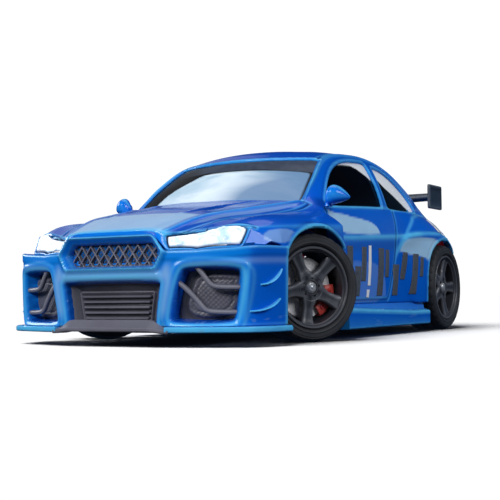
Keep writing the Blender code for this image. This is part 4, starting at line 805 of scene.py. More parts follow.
OPENINGS = {  # name: (distance field, edge radius)
    "windscreen": (row_col_shape(SCREEN, SCREEN_ROW_MM, 15.5), 0.22),
    "rear_screen": (row_col_box((9.9, 11.75), (3.12, 4.9), 1.5), 0.30),
    "headlamp": (row_col_shape(HEADLAMP, 2.9, 5.6), 0.16),
    "tail_lamp": (row_col_box((13.12, 13.55), (1.2, 2.75), 0.4), 0.22),
    "door_glass": (side_shape(DOOR_GLASS, 1.9, 3.3), 0.2),
    "quarter_glass": (side_shape(QUARTER_GLASS, 1.9, 3.3), 0.2),
    "front_arch": (side_shape(front_arch_outline(), -1, 1.6), 0.2),
    "rear_arch": (side_shape(rear_arch_outline(), -1, 1.9), 0.2),
}

# ------------------------------------------------------------------ relief of the body
SIDE_GAPS = [  # panel lines on the side, (y, z)
    [(11.6, 23.5), (10.9, 22.4), (8.3, 17.7), (5.6, 12.2), (3.0, 7.2), (2.2, 6.4),
     (-16.4, 6.4), (-18.6, 7.6), (-18.75, 17.0), (-18.5, 22.9)],
    [(36.5, 21.9), (39.0, 18.2), (39.9, 15.0), (40.2, 12.0)],
]
TOP_GAPS = [  # panel lines on top, (row, col)
    [(0.93, 2.55), (1.35, 2.52), (2.2, 2.50), (3.3, 2.46), (4.3, 2.50), (4.86, 2.62),
     (4.93, 2.9), (4.95, 3.3), (4.95, 4.0)],
    [(1.22, 0.98), (1.2, 1.6), (1.16, 2.2), (1.05, 2.5)],
    [(12.02, 4.0), (12.02, 3.4), (12.05, 3.05), (12.2, 2.86), (12.95, 2.84), (13.06, 2.84)],
    [(13.62, 4.0), (13.62, 3.2), (13.5, 3.02), (13.3, 2.9), (13.06, 2.84)],
    [(6.98, 3.06), (7.6, 3.05), (8.5, 3.05), (9.4, 3.05), (9.8, 3.07)],
]
FLARE = chaikin([  # swelling round the rear wheel, (y, z)
    (5.6, 12.4), (6.6, 15.0), (9.4, 17.6), (13.2, 19.15), (15.6, 19.5), (20.8, 19.9),
    (27.4, 20.0), (33.0, 19.7), (37.6, 18.3), (40.6, 15.8), (41.6, 12.4), (42.6, 8.0),
    (31.0, 2.0), (18.0, 3.0), (9.5, 8.2)], 2)
FENDER = chaikin([  # swelling round the front wheel, (y, z)
    (-40.6, 14.9), (-38.6, 17.2), (-34.6, 19.3), (-29.0, 19.9), (-23.0, 19.4), (-20.9, 18.2),
    (-20.4, 12.0), (-22.0, 6.0), (-30.0, 2.0), (-40.6, 8.0)], 2)
HAUNCH = [(12.6, 18.6), (14.2, 19.6), (16.6, 20.9), (19.8, 22.5), (24.0, 23.3), (30.0, 23.4)]


# Each of these returns rise in mm over the CAD surface, then two marks for the paint: a painted
# highlight along edges and painted shade in grooves and gaps.
# A bell is one narrow bead, groove or mark, and a span limits it to a stretch of the car.
def arch_relief(row, col, place):
    """Swellings round the wheels, rolled arch lips, and the haunch over the rear wheel."""
    y, z = place[..., 1], place[..., 2]
    low = col < 2.05
    flare, fender = shape_distance(y, z, FLARE), shape_distance(y, z, FENDER)
    rise = 0.62 * ease(-flare, -0.15, 1.0) * ease(y + 0.55 * z, 14.2, 19.6) * low
    rise += 0.12 * ease(-fender, -0.1, 1.2) * low
    edge = 0.75 * bell(flare + 0.55, 0.38) * ease(y, 6.4, 9.0) * low * (z > 13)
    gap = np.zeros(row.shape)
    for name, width, lift in (("front_arch", 0.62, 0.20), ("rear_arch", 0.75, 0.24)):
        dist = OPENINGS[name][0](row, col)
        rise += lift * ease(dist, width + 0.22, width - 0.05) * (dist > -2)
        edge += 0.95 * bell(dist - width * 0.55, 0.24)
        gap += 0.35 * bell(dist - width - 0.30, 0.2)
    over = z - np.interp(y, *zip(*HAUNCH))
    haunch = span(y, 11.5, 14.5, 30.0, 38.0) * (col > 0.9) * (col < 2.6)
    rise += 0.30 * ease(-over, -0.45, 0.5) * haunch * ease(z, 17.5, 19.5)
    edge += 0.55 * bell(over, 0.36) * haunch
    return rise, edge, gap


def fold_relief(row, col, place):
    """Creases of the sides and the bonnet, and the bonnet's slots."""
    # below the windows, along line 1, then on the front fender and along line 2
    cabin = span(row, 4.98, 5.3, 9.2, 10.4)
    edge = 0.85 * bell((col - 1) * 5.4, 0.26) * cabin
    gap = 0.30 * bell((col - 1) * 5.4 + 0.75, 0.5) * cabin * (col < 1)
    edge += 0.60 * bell((col - 1) * 4.0, 0.3) * span(row, 0.9, 1.3, 3.8, 4.6) * 0.5
    edge += 0.55 * bell((col - 2) * 9.0, 0.3) * span(row, 5.1, 5.6, 10.6, 11.8)
    # bonnet: a bead along line 3, with the middle raised
    bonnet = span(row, 0.9, 1.15, 4.7, 4.97)
    rise = 0.34 * bell((col - 3) * 12.0, 0.62) * bonnet + 0.16 * ease(col, 3.0, 3.12) * bonnet
    edge += 0.50 * bell((col - 3) * 12.0 + 0.1, 0.42) * bonnet
    # a second, softer fold on each side, and three shallow slots
    rise += 0.16 * bell((col - 3.42) * 13, 0.7) * span(row, 1.4, 2.4, 4.3, 4.9)
    for middle in (3.30, 3.38, 3.46):
        slot = bell((col - middle) * 13, 0.20) * span(row, 2.55, 2.62, 3.05, 3.12)
        rise -= 0.22 * slot
        gap += 0.7 * slot
    return rise, edge, gap


def roof_and_end_relief(row, col, place):
    """Roof edge bead, shallow roof dish, lip along the boot's end, nose edge over the grille."""
    rail = span(row, 5.3, 5.9, 11.2, 11.9)
    rise = 0.14 * bell((col - 3.0) * 12.0, 0.5) * rail
    edge = 0.45 * bell((col - 2.985) * 12.0, 0.35) * rail
    rise -= 0.22 * ease(col, 3.3, 3.55) * span(row, 7.25, 7.6, 9.2, 9.55)
    boot = ease(col, 2.6, 3.0)
    rise += 0.30 * bell((row - 12.9) * 7.5, 0.75) * boot
    edge += 0.5 * bell((row - 12.9) * 7.5, 0.4) * boot
    edge += 0.8 * bell((row - 0.98) * 2.2, 0.3) * ease(col, 2.7, 2.95) * (row < 1.2)
    return rise, edge, 0


def panel_line_relief(row, col, place):
    rise, edge, gap = (np.zeros(row.shape) for _ in range(3))
    for points in SIDE_GAPS:
        dist = line_distance(place[..., 1], place[..., 2], points)
        side = (col > 0.02) & (col < 2.06)
        rise -= 0.26 * bell(dist, 0.19) * side
        gap += 0.95 * bell(dist, 0.20) * side
        edge += 0.42 * bell(dist - 0.42, 0.2) * side
    for points in TOP_GAPS:
        points = np.array(points)
        joints = surf(points[:, 0], points[:, 1])
        dist = np.full(row.shape, 9.0)
        for start, end in zip(joints[:-1], joints[1:]):
            leg = end - start
            t = np.clip(((place - start) @ leg) / (leg @ leg + 1e-12), 0, 1)
            away = np.linalg.norm(place - start - t[..., None] * leg, axis=-1)
            dist = np.minimum(dist, away)
        rise -= 0.24 * bell(dist, 0.19)
        gap += 0.9 * bell(dist, 0.20)
        edge += 0.38 * bell(dist - 0.42, 0.2)
    return rise, edge, gap


def opening_relief(row, col, place):
    """Rounded edges of the openings, with a bead round each window and lamp."""
    rise, edge, gap = (np.zeros(row.shape) for _ in range(3))
    for name, (field, radius) in OPENINGS.items():
        dist = field(row, col)
        near = (dist > -1) & (dist < 2.5)
        if name in ("door_glass", "quarter_glass", "windscreen", "rear_screen"):
            rise += 0.10 * bell(dist - 0.42, 0.2) * near
            edge += 0.60 * bell(dist - 0.42, 0.17) * near
            gap += 0.30 * bell(dist - 0.85, 0.16) * near
        if name in ("headlamp", "tail_lamp"):
            rise += 0.10 * bell(dist - 0.45, 0.25) * near
            edge += 0.45 * bell(dist - 0.4, 0.2) * near
            gap += 0.8 * bell(dist, 0.14) * near
        rise -= fillet(np.maximum(dist, 0), radius) * (dist < radius)
        edge += 0.35 * bell(dist - 0.1, 0.16) * near
    return rise, edge, gap


def relief(row, col):
    place = surf(row, col)
    parts = [part(row, col, place) for part in (
        arch_relief, fold_relief, roof_and_end_relief, panel_line_relief, opening_relief)]
    rise, edge, gap = (sum(values) for values in zip(*parts))
    return rise, np.clip(edge, 0, 1), np.clip(gap, 0, 1)


# Painted reflections of a pale sky on the paint: (outline, strength)
SHEEN_SIDE = [  # (y, z)
    ([(-18.3, 22.3), (-16.3, 21.6), (-11.4, 21.55), (-8.9, 21.2), (-6.2, 21.15), (-3.3, 20.85),
      (-1.6, 20.7), (-0.3, 20.3), (0.6, 19.9), (1.1, 19.3), (1.5, 18.25), (-18.3, 18.0)], 0.85),
    ([(8.3, 15.2), (9.2, 16.4), (10.5, 17.3), (12.3, 17.9), (14.0, 18.25), (19.5, 18.6),
      (25.5, 18.4), (26.9, 17.7), (25.0, 16.9), (23.6, 16.0), (22.4, 15.2), (20.8, 13.8),
      (19.6, 14.6)], 0.80),
    ([(-43.4, 15.4), (-38.6, 15.4), (-37.6, 16.6), (-36.4, 17.3), (-38.9, 17.8),
      (-42.8, 17.2)], 0.38),
    ([(-16.5, 6.0), (-15.5, 13.3), (-4.1, 13.4), (-1.0, 12.6), (1.4, 11.0), (1.8, 6.0)], 0.16),
]
SHEEN_TOP = [  # (row, col)
    ([(1.02, 4.6), (1.02, 3.04), (1.5, 3.05), (2.16, 3.08), (2.22, 3.3), (2.24, 3.6),
      (2.2, 4.6)], 0.62),
    ([(2.5, 2.95), (3.3, 2.95), (4.2, 2.96), (4.7, 2.9), (4.4, 2.74), (3.4, 2.70), (2.5, 2.72),
      (1.8, 2.7), (1.5, 2.85)], 0.30),
    ([(2.4, 3.10), (3.4, 3.12), (4.3, 3.2), (4.6, 3.3), (3.6, 3.26), (2.6, 3.22)], 0.22),
]
SHEEN_ROW_MM, SHEEN_COL_MM = 7.5, 12.0


def sheen(row, col):
    place = surf(row, col)
    out = np.zeros(row.shape)
    for points, strength in SHEEN_SIDE:
        dist = shape_distance(place[..., 1], place[..., 2], chaikin(points, 1))
        out = np.maximum(out, strength * ease(-dist, -0.12, 0.22) * (col < 2.02))
    for points, strength in SHEEN_TOP:
        dist = row_col_shape(points, SHEEN_ROW_MM, SHEEN_COL_MM)(row, col)
        out = np.maximum(out, strength * ease(-dist, -0.5, 0.7) * (col > 2.02))
    return out


# ------------------------------------------------------------------ body skin
def skin_values(step):
    """Rows and cols of the skin's grid, about step mm apart."""
    rows, cols = [], []
    for i in range(LAST_ROW):
        samples = lines(np.linspace(i, i + 1, 40))
        length = np.linalg.norm(np.diff(samples, axis=0), axis=-1).sum(0)
        count = max(3, math.ceil(length[1:4].max() / step))
        rows += [i + j / count for j in range(count)]
    rows.append(float(LAST_ROW))
    for k, length, pitch in ((0, 12.6, step), (1, 5.4, step), (2, 10.6, step),
                             (3, 14.5, step * 1.25)):
        count = math.ceil(length / pitch)
        cols += [k + j / count for j in range(count)]
    cols.append(float(CENTRE))
    return np.array(rows), np.array(cols)


def snap(row, col, fields, row_step, col_step):
    """Moves grid points beside a field's zero line onto it, to give openings smooth edges."""
    top, ends = col >= 3.9999, (row <= 1e-6) | (row >= 13.9999)
    held = np.zeros(row.shape, bool)
    tiny = 1e-3
    for field in fields:
        for _ in range(2):
            dist = field(row, col)
            near = (np.abs(dist) < 0.45) & ~held
            row_slope = np.where(ends, 0, (field(row + tiny, col) - dist) / tiny)
            above = field(row, col + np.where(top, 0, tiny))
            col_slope = np.where(top, 0, (above - dist) / tiny)
            # slopes per grid step, so that each point moves the least share of its cell
            row_slope, col_slope = row_slope * row_step, col_slope * col_step
            steep = row_slope**2 + col_slope**2 + 1e-12
            row_move = -dist * row_slope / steep * row_step
            col_move = -dist * col_slope / steep * col_step
            good = (near & (np.abs(row_move) < 0.52 * row_step)
                    & (np.abs(col_move) < 0.52 * col_step))
            row = np.where(good, row + row_move, row)
            col = np.where(good, np.clip(col + col_move, 0, CENTRE), col)
        held |= np.abs(field(row, col)) < 0.02
    return row, col


def cut_faces(dist):
    """Faces of a grid where dist is positive. A cell that an edge crosses is split along
    its best diagonal."""
    cells = grid_faces(*dist.shape)
    corners = dist.ravel()[cells]
    slack = 0.02
    whole = (corners > -slack).all(1)
    faces = cells[whole].tolist()
    for cell, worth in zip(cells[~whole], corners[~whole]):
        if (worth < slack).all():
            continue
        first = abs(worth[0]) + abs(worth[2]) < abs(worth[1]) + abs(worth[3])
        for triangle in ((0, 1, 2), (0, 2, 3)) if first else ((0, 1, 3), (1, 2, 3)):
            if (sum(worth[i] for i in triangle) > 0
                    and all(worth[i] > -slack for i in triangle)):
                faces.append([int(cell[i]) for i in triangle])
    return faces


def raised(row, col, rise):
    """Surface points lifted along their normals."""
    return surf(row, col) + normals(row, col) * rise[..., None]


def build_shell():
    rows, cols = skin_values(0.34)
    row, col = np.meshgrid(rows, cols, indexing="ij")
    row_step = np.gradient(rows)[:, None] * np.ones_like(col)
    col_step = np.gradient(cols)[None, :] * np.ones_like(row)
    fields = [field for field, _ in OPENINGS.values()]
    row, col = snap(row, col, fields, row_step, col_step)
    rise, edge, gap = relief(row, col)
    points = raised(row, col, rise)
    points[..., 0] = np.where(col >= 3.9999, 0, points[..., 0])
    dist = np.full(row.shape, 9.0)
    for field in fields:
        dist = np.minimum(dist, field(row, col))
    marks = {"edge": edge, "gap": gap, "sheen": sheen(row, col)}
    sheet = mirror_sheet(compact(points, cut_faces(dist), marks))
    shell = new_object("body_skin", sheet, PAINT, 50, "body_shell")
    thicken(shell, 0.5)
    return shell


# ------------------------------------------------------------------ windows and lamps
def panel(opening, rows, cols, depth, side=0, grow=0.3, crown=0.0, edge_radius=0.0,
          marks=None, step=0.4):
    """A sheet of the surface inside an opening, depth mm under the skin and grow mm wider.
    side 0 is both halves, welded; 1 and -1 are the left and right."""
    field = OPENINGS[opening][0]
    row_mid, col_mid = (rows[0] + rows[1]) / 2, (cols[0] + cols[1]) / 2
    length = np.linalg.norm(surf(rows[1], col_mid) - surf(rows[0], col_mid))
    height = np.linalg.norm(surf(row_mid, cols[1]) - surf(row_mid, cols[0]))
    row_at = np.linspace(*rows, max(6, int(length / step)))
    col_at = np.linspace(*cols, max(6, int(height / step)))
    row, col = np.meshgrid(row_at, col_at, indexing="ij")
    inside = lambda a, b: grow - field(a, b)
    row, col = snap(row, col, [inside], np.full(row.shape, row_at[1] - row_at[0]),
                    np.full(row.shape, col_at[1] - col_at[0]))
    dist = inside(row, col)
    rise = -depth + crown * ease(dist, 0.0, 2.5)
    if edge_radius:
        rise = rise - fillet(np.maximum(dist, 0), edge_radius)
    marked = {"edge": np.zeros(row.shape), "gap": np.zeros(row.shape)}
    if marks:
        marked.update(marks(row, surf(row, col), dist))
        rise = rise + marked.pop("rise", 0)
    points = raised(row, col, rise)
    if side == 0:
        points[..., 0] = np.where(col >= 3.9999, 0, points[..., 0])
    sheet = compact(points, cut_faces(dist), marked)
    if side == 0:
        return mirror_sheet(sheet)
    if side < 0:
        points, faces, marked = sheet
        return points * np.array([-1, 1, 1]), [face[::-1] for face in faces], marked
    return sheet


def screen_marks(row, place, dist):
    widest = np.maximum(surf(row, np.full(row.shape, SCREEN_COL))[..., 0], 1)
    first, last = SCREEN_ROWS
    return {"shield": np.ones(row.shape), "glass_v": (row - first) / (last - first),
            "glass_u": 0.5 + 0.5 * place[..., 0] / widest}


def band_marks(outline):
    """Marks the painted reflection band of a side window inside a (y, z) outline."""
    def marks(row, place, dist):
        inside = -shape_distance(place[..., 1], place[..., 2], outline)
        return {"band": ease(inside, -0.10, 0.12)}

    return marks


# Pale reflection in the windscreen, (x in mm, row)
PALE = [(-12.2, 4.9), (-12.1, 5.2), (-11.4, 5.48), (-10.1, 5.70), (-8.6, 5.88), (-7.6, 6.0),
        (-6.6, 6.14), (-5.6, 6.21), (-4.3, 6.235), (0.0, 6.25), (7.8, 6.26), (13.1, 6.27),
        (14.7, 6.25), (15.1, 6.15), (15.5, 5.85), (16.0, 5.4), (16.5, 4.9)]
# Painted pale reflection bands in the side windows, (y, z)
DOOR_BAND = [(-5.5, 31.3), (-1.5, 31.75), (2.35, 31.95), (4.5, 31.5), (5.8, 30.9), (7.2, 30.3),
             (8.3, 29.5), (9.6, 30.4), (9.9, 33.5), (-1.0, 33.5), (-5.0, 31.7)]
QUARTER_BAND = [(11.0, 30.3), (12.2, 30.0), (13.9, 28.7), (17.5, 27.1), (21.1, 25.2),
                (23.3, 24.2), (24.2, 23.6), (28.0, 24.0), (28.0, 30.0), (20.0, 33.6),
                (11.0, 33.6)]


def windscreen_sheet():
    sheet = panel("windscreen", (4.96, 7.0), (2.98, 4.0), 0.32, marks=screen_marks, step=0.28)
    points, _, marks = sheet
    x = points[:, 0]
    # mirrored points keep the other side's place across the screen
    marks["glass_u"] = np.where(x < 0, 1 - marks["glass_u"], marks["glass_u"])
    row = SCREEN_ROWS[0] + (SCREEN_ROWS[1] - SCREEN_ROWS[0]) * marks["glass_v"]
    outline = np.array(PALE) * np.array([1, SCREEN_ROW_MM])
    inside = -shape_distance(x, row * SCREEN_ROW_MM, outline)
    marks["pale"] = ease(inside, -0.12, 0.16)
    marks["strip"] = ease(row, 6.285, 6.315) * ease(x, -13.5, -3.0)
    return sheet


def build_windows():
    sheets = [windscreen_sheet(), panel("rear_screen", (9.78, 11.88), (3.04, 4.0), 0.32)]
    for side, _ in SIDES:
        for opening, rows, band in (("door_glass", (5.5, 9.3), DOOR_BAND),
                                    ("quarter_glass", (8.6, 10.9), QUARTER_BAND)):
            sheets.append(panel(opening, rows, (1.92, 3.2), 0.42, side=side,
                                marks=band_marks(band), step=0.22))
    thicken(new_object("window_panes", merge(*sheets), GLASS, 50, "window_glazing"), 0.3)


def lamp_marks(dots, ring_inset, ring_strength):
    """A marked rim and inner ring, and small domes at dots of (row, col, radius)."""
    def marks(row, place, dist):
        edge = 0.75 * bell(dist, 0.12) + ring_strength * bell(dist - ring_inset, 0.09)
        rise = np.zeros(row.shape)
        for dot_row, dot_col, radius in dots:
            away = np.linalg.norm(place - surf(dot_row, dot_col), axis=-1)
            edge = edge + 0.5 * bell(away - radius, 0.09)
            rise = rise + 0.12 * bell(away, radius)
        return {"edge": np.clip(edge, 0, 1), "rise": rise}

    return marks


HEAD_DOTS = [(0.30, 2.55, 0.42), (0.70, 1.75, 0.36), (0.42, 1.42, 0.3), (0.98, 1.55, 0.22),
             (0.90, 1.22, 0.2), (0.5, 2.1, 0.5)]
TAIL_DOTS = [(13.34, 1.6, 0.42), (13.34, 2.1, 0.42), (13.34, 2.5, 0.36)]


def build_lamps():
    for side, word in SIDES:
        sheet = panel("headlamp", (0.03, 1.24), (0.92, 2.98), -0.10, side=side, grow=-0.13,
                      crown=0.12, edge_radius=0.25, step=0.2,
                      marks=lamp_marks(HEAD_DOTS, ring_inset=0.62, ring_strength=0.16))
        thicken(new_object("headlamp_glass_" + word, sheet, LENS, 60,
                           "headlamp_lens_" + word), 0.6)
        sheet = panel("tail_lamp", (13.08, 13.59), (1.12, 2.83), -0.08, side=side, grow=-0.12,
                      crown=0.10, edge_radius=0.22, step=0.18,
                      marks=lamp_marks(TAIL_DOTS, ring_inset=0.42, ring_strength=0.4))
        thicken(new_object("tail_lamp_glass_" + word, sheet, TAIL, 60, "tail_lamp_" + word), 0.6)


# ------------------------------------------------------------------ bumper tools
# A bumper's left half is a grid too: along counts the points of its plan, up is 0..1.
def bumper_field(point, shape, limit=np.inf):
    """Distance to an (x, z) outline on a bumper, out to a limit along the plan."""
    def field(along, up):
        place = point(along, up)
        return np.where(along < limit, shape_distance(place[..., 0], place[..., 2], shape), 9.0)

    return field


def bumper_grid(point, plan, plan_at, across_count, up_count, fields, reach):
    """Grid values, points and normals, with points within reach mm of an edge moved to it."""
    last, tiny = plan_at[-1], 1e-3
    lengths = np.linalg.norm(np.diff(plan, axis=0), axis=1)
    run = np.concatenate([[0], np.cumsum(lengths)])
    along_at = np.interp(np.linspace(0, run[-1], across_count(run[-1])), run, plan_at)
    up_at = np.linspace(0, 1, up_count)
    along, up = np.meshgrid(along_at, up_at, indexing="ij")
    along_step = np.gradient(along_at)[:, None] * np.ones(along.shape)
    up_step = np.full(along.shape, up_at[1])
    for field in fields:
        for _ in range(2):
            dist = field(along, up)
            along_slope = (field(along + tiny, up) - dist) / tiny
            up_slope = (field(along, up + tiny) - dist) / tiny
            along_slope = np.where((along <= 0) | (along >= last), 0, along_slope) * along_step
            up_slope = np.where((up <= 0) | (up >= 1), 0, up_slope) * up_step
            steep = along_slope**2 + up_slope**2 + 1e-12
            along_move = -dist * along_slope / steep * along_step
            up_move = -dist * up_slope / steep * up_step
            good = ((np.abs(dist) < reach) & (np.abs(along_move) < 0.5 * along_step)
                    & (np.abs(up_move) < 0.5 * up_step))
            along = np.where(good, along + along_move, along)
            up = np.where(good, up + up_move, up)
    out = np.cross(point(np.clip(along + tiny, 0, last), up)
                   - point(np.clip(along - tiny, 0, last), up),
                   point(along, up + tiny) - point(along, up - tiny))
    out /= np.linalg.norm(out, axis=-1, keepdims=True)
    return along, up, point(along, up), out


def bumper_skin(name, points, faces, marks, wall, replaces):
    points[0, :, 0] = 0
    sheet = mirror_sheet(compact(points, faces, marks))
    thicken(new_object(name, sheet, PAINT, 60, replaces), wall)


# ------------------------------------------------------------------ front bumper
FRONT_PLAN = [(0.0, -52.0), (4.7, -51.95), (9.6, -51.6), (12.6, -50.9), (16.0, -49.7),
              (19.2, -48.4), (21.2, -47.3), (22.2, -46.0), (23.0, -43.6), (24.0, -38.9)]
FRONT_LOW = 3.0
FRONT_CURVE = spline(FRONT_PLAN, 40)
FRONT_AT = np.linspace(0, len(FRONT_PLAN) - 1, len(FRONT_CURVE))
# The bumper's top follows the shell's lower edge, first over the grille, then round the side
NOSE_EDGE = surf(np.zeros(60), CENTRE - np.linspace(0, 1, 60))
SIDE_EDGE = np.array([tuple(line_point(k, 0)) for k in (3, 2, 1, 0)])
TOP_X = np.concatenate([NOSE_EDGE[:, 0], SIDE_EDGE[1:, 0], [23.2, 24.5]])
TOP_Z = np.concatenate([NOSE_EDGE[:, 2], SIDE_EDGE[1:, 2], [15.12, 15.12]]) - 0.13
# Outlines in front view, (x, z)
GRILLE_OUTER = np.array([
    (-9.62, 14.12), (-9.42, 14.55), (-8.15, 16.38), (-7.75, 16.62), (7.75, 16.62),
    (8.15, 16.38), (9.42, 14.55), (9.62, 14.12), (9.45, 13.72), (8.55, 12.0), (8.15, 11.75),
    (-8.15, 11.75), (-8.55, 12.0), (-9.45, 13.72)])
GRILLE_INNER = np.array([
    (-8.72, 14.1), (-8.6, 14.38), (-7.6, 15.62), (-7.3, 15.78), (7.3, 15.78), (7.6, 15.62),
    (8.6, 14.38), (8.72, 14.1), (8.6, 13.75), (7.85, 12.38), (7.55, 12.18), (-7.55, 12.18),
    (-7.85, 12.38), (-8.6, 13.75)])
COOLER = chaikin([(-8.9, 9.75), (8.9, 9.75), (8.9, 9.2), (8.0, 3.6), (7.9, -2), (-7.9, -2),
                  (-8.0, 3.6), (-8.9, 9.2)], 2)
INTAKE = chaikin([(11.0, 3.75), (19.5, 3.75), (20.0, 4.7), (20.75, 10.7), (20.3, 11.65),
                  (13.4, 11.75), (12.3, 11.0), (10.85, 4.6)], 2)


def front_top(x):
    return np.interp(x, TOP_X, TOP_Z)


def front_point(along, up):
    """The face of the front bumper before its details."""
    x = np.interp(along, FRONT_AT, FRONT_CURVE[:, 0])
    y = np.interp(along, FRONT_AT, FRONT_CURVE[:, 1])
    z = FRONT_LOW + (front_top(x) - FRONT_LOW) * up
    bow = 0.35 * np.sin(np.pi * np.clip((z - 3) / 11.5, 0, 1))
    return np.stack([x * (1 + 0.012 * (up - 0.5)), y - bow * np.maximum(0, 1 - x / 24), z], -1)


def face_y(x, z):
    """Depth of the bumper's face at points of its front view."""
    plan_x = FRONT_CURVE[:, 0] * (1 + 0.012 * (np.mean(z) - 9) / 12)
    y = np.interp(np.abs(x), plan_x, FRONT_CURVE[:, 1])
    bow = 0.35 * np.sin(np.pi * np.clip((z - 3) / 11.5, 0, 1))
    return y - bow * np.maximum(0, 1 - np.abs(x) / 24)


def build_front_bumper():
    fields = [bumper_field(front_point, shape, limit) for shape, limit in (
        (GRILLE_OUTER, 4), (GRILLE_INNER, 4), (COOLER, 4), (INTAKE, 7.5))]
    along, up, points, normal = bumper_grid(
        front_point, FRONT_CURVE, FRONT_AT, lambda _: int(29.5 / (0.21)),
        int(12.0 / (0.20)), fields, reach=0.35)
    x, z = points[..., 0], points[..., 2]
    outer, inner, cooler, intake = (field(along, up) for field in fields)
    # grille surround: a ridge, then a slope down to the grille
    rise = 0.50 * (1 - ease(outer, 0.0, 0.62)) * (outer >= 0)
    slope = np.clip(-outer / np.maximum(-outer + np.maximum(inner, 0), 1e-6), 0, 1)
    rise += np.where(outer < 0, 0.50 - 0.95 * slope, 0)
    rise -= 1.1 * ease(-inner, 0.0, 0.22)
    edge = 0.95 * bell(outer - 0.05, 0.20) + 0.4 * bell(inner, 0.14)
    gap = 0.35 * bell(outer - 0.62, 0.25) * (z < 16)
    # lower opening and side intakes: wide rolled edges
    for dist, radius, depth in ((cooler, 0.75, 2.3), (intake, 0.62, 2.9)):
        rise -= fillet(np.maximum(dist, 0), radius) * (dist < radius)
        rise -= (depth - radius) * ease(-dist, 0.0, 0.28)
        edge += 0.62 * bell(dist - radius + 0.06, 0.26)
        gap += 0.35 * ease(-dist, -0.30, 0.05)
    rise += 0.20 * bell(intake - 1.05, 0.45)
    edge += 0.30 * bell(intake - 1.45, 0.2)
    # the bar between the grille and the lower opening swells
    rise += 0.22 * bell(z - 10.75, 0.6) * ease(-x, -9.6, -8.6)
    edge += 0.45 * bell(z - 10.85, 0.42) * ease(-x, -10.4, -8.4)
    # brow that runs from the grille out to the arch under the lamp, and a crease on the corner
    brow = np.interp(x, [8.5, 11, 16, 20, 23.5], [13.1, 12.9, 13.05, 13.3, 13.6])
    rise += 0.14 * ease(z - brow, -0.25, 0.3) * (x > 9.4)
    corner = np.interp(z, [3, 14], [5.9, 6.35])
    edge += 0.32 * bell((along - corner) * 2.0, 0.35) * (z < 12.4)
    # rounded top, end and foot
    top = front_top(np.interp(along, FRONT_AT, FRONT_CURVE[:, 0])) - z
    rise -= fillet(top, 0.16) * (top < 0.16)
    edge += 0.55 * bell(top - 0.2, 0.2) * (x > 8.5)
    end = (9 - along) * 3.5
    rise -= fillet(end, 0.45) * (end < 0.45)
    edge += 0.75 * bell(end - 0.35, 0.25)
    low = z - FRONT_LOW
    rise -= fillet(low, 0.3) * (low < 0.3) * (np.minimum(cooler, intake) > 0.3)
    edge += 0.35 * bell(low - 0.3, 0.25)
    # pale reflections: bar under the grille, posts beside the lower opening, under the brow
    shine = 0.40 * bell(z - 10.7, 0.85) * ease(-x, -11.0, -8.8) * (cooler > 0.25)
    shine += (0.34 * bell(cooler - intake, 1.3) * span(z, 3.4, 6.0, 11.6, 13.4)
              * ease(-intake, -3.4, -2.4) * (x > 8))
    shine += 0.22 * bell(z - brow + 0.75, 0.45) * ease(x, 11.5, 14.5)
    # the floor of each pocket is left open where an insert covers it
    deep = np.minimum(np.minimum(inner, cooler), intake).ravel()
    faces = [face for face in grid_faces(*along.shape) if deep[face].mean() > -0.75]
    marks = {"edge": np.clip(edge, 0, 1), "gap": np.clip(gap, 0, 1),
             "sheen": np.clip(shine, 0, 0.6)}
    bumper_skin("front_bumper_skin", points + normal * rise[..., None], faces, marks,
                0.45, "front_bumper")


def grille_relief(x, z):
    """Crossed diagonal bars with a small pyramid in each cell."""
    across, up = x / 1.79 + 0.5, (z - 14.15) / 2.42
    rising, falling = across + up, across - up
    middle = np.maximum(np.abs(rising - np.round(rising)), np.abs(falling - np.round(falling)))
    off = (0.5 - middle) / 0.69                  # mm from the middle of the nearest bar
    bar = 1 - ease(off, 0.10, 0.26)
    pyramid = np.clip((0.33 - middle) / 0.33, 0, 1)
    depth = 1.95 - 0.82 * bar - 0.62 * pyramid
    edge = 0.75 * bell(off, 0.10) + 0.45 * bell((middle - 0.31) / 0.69, 0.07)
    edge += 0.35 * ease(pyramid, 0.55, 1.0)
    rim = -shape_distance(x, z, GRILLE_INNER)
    depth = np.where(rim < 0.28, np.minimum(depth, 1.25), depth)
    return depth, edge, 0.9 * bell(off - 0.40, 0.13)


PANEL_TOP, PANEL_LOW = 8.45, 3.75        # inner panel of the lower opening


def cooler_relief(x, z):
    """A sloping frame round a panel with a raised rim and five round-ended ridges."""
    down = (PANEL_TOP - z) / (PANEL_TOP - PANEL_LOW)
    half = 7.25 - 0.75 * np.clip(down, -0.3, 1.2)
    over_x, over_z = np.abs(x) - half, np.maximum(z - PANEL_TOP, PANEL_LOW - z)
    out = np.maximum(over_x, over_z)
    dist = (np.hypot(np.maximum(over_x + 0.5, 0), np.maximum(over_z + 0.5, 0))
            + np.minimum(out + 0.5, 0) - 0.5)
    rim = bell(dist + 0.16, 0.17)
    depth = np.where(dist < 0, 2.15, 2.35 - 1.05 * np.clip(out / 1.35, 0, 1.1)) - 0.25 * rim
    ridge, shine = np.zeros(x.shape), np.zeros(x.shape)
    for i in range(5):
        away = np.hypot(np.maximum(np.abs(x) - (half - 0.75), 0), z - (7.62 - 0.82 * i))
        ridge = np.maximum(ridge, ease(-away, -0.33, -0.14))
        shine = np.maximum(shine, bell(away, 0.13))
    mitre = bell((over_x - over_z) * 0.7, 0.10) * (out > 0.1)
    edge = 0.55 * rim + 0.60 * shine + 0.65 * mitre + 0.25 * bell(out - 1.2, 0.15)
    gap = 0.8 * (1 - ridge) * (dist < -0.4) + 0.5 * bell(dist - 0.15, 0.12)
    return depth - 0.42 * ridge, edge, gap


INTAKE_PLATE = chaikin([(11.6, 4.4), (19.0, 4.4), (19.6, 9.9), (19.2, 10.7), (14.4, 10.8),
                        (13.2, 9.9)], 2)


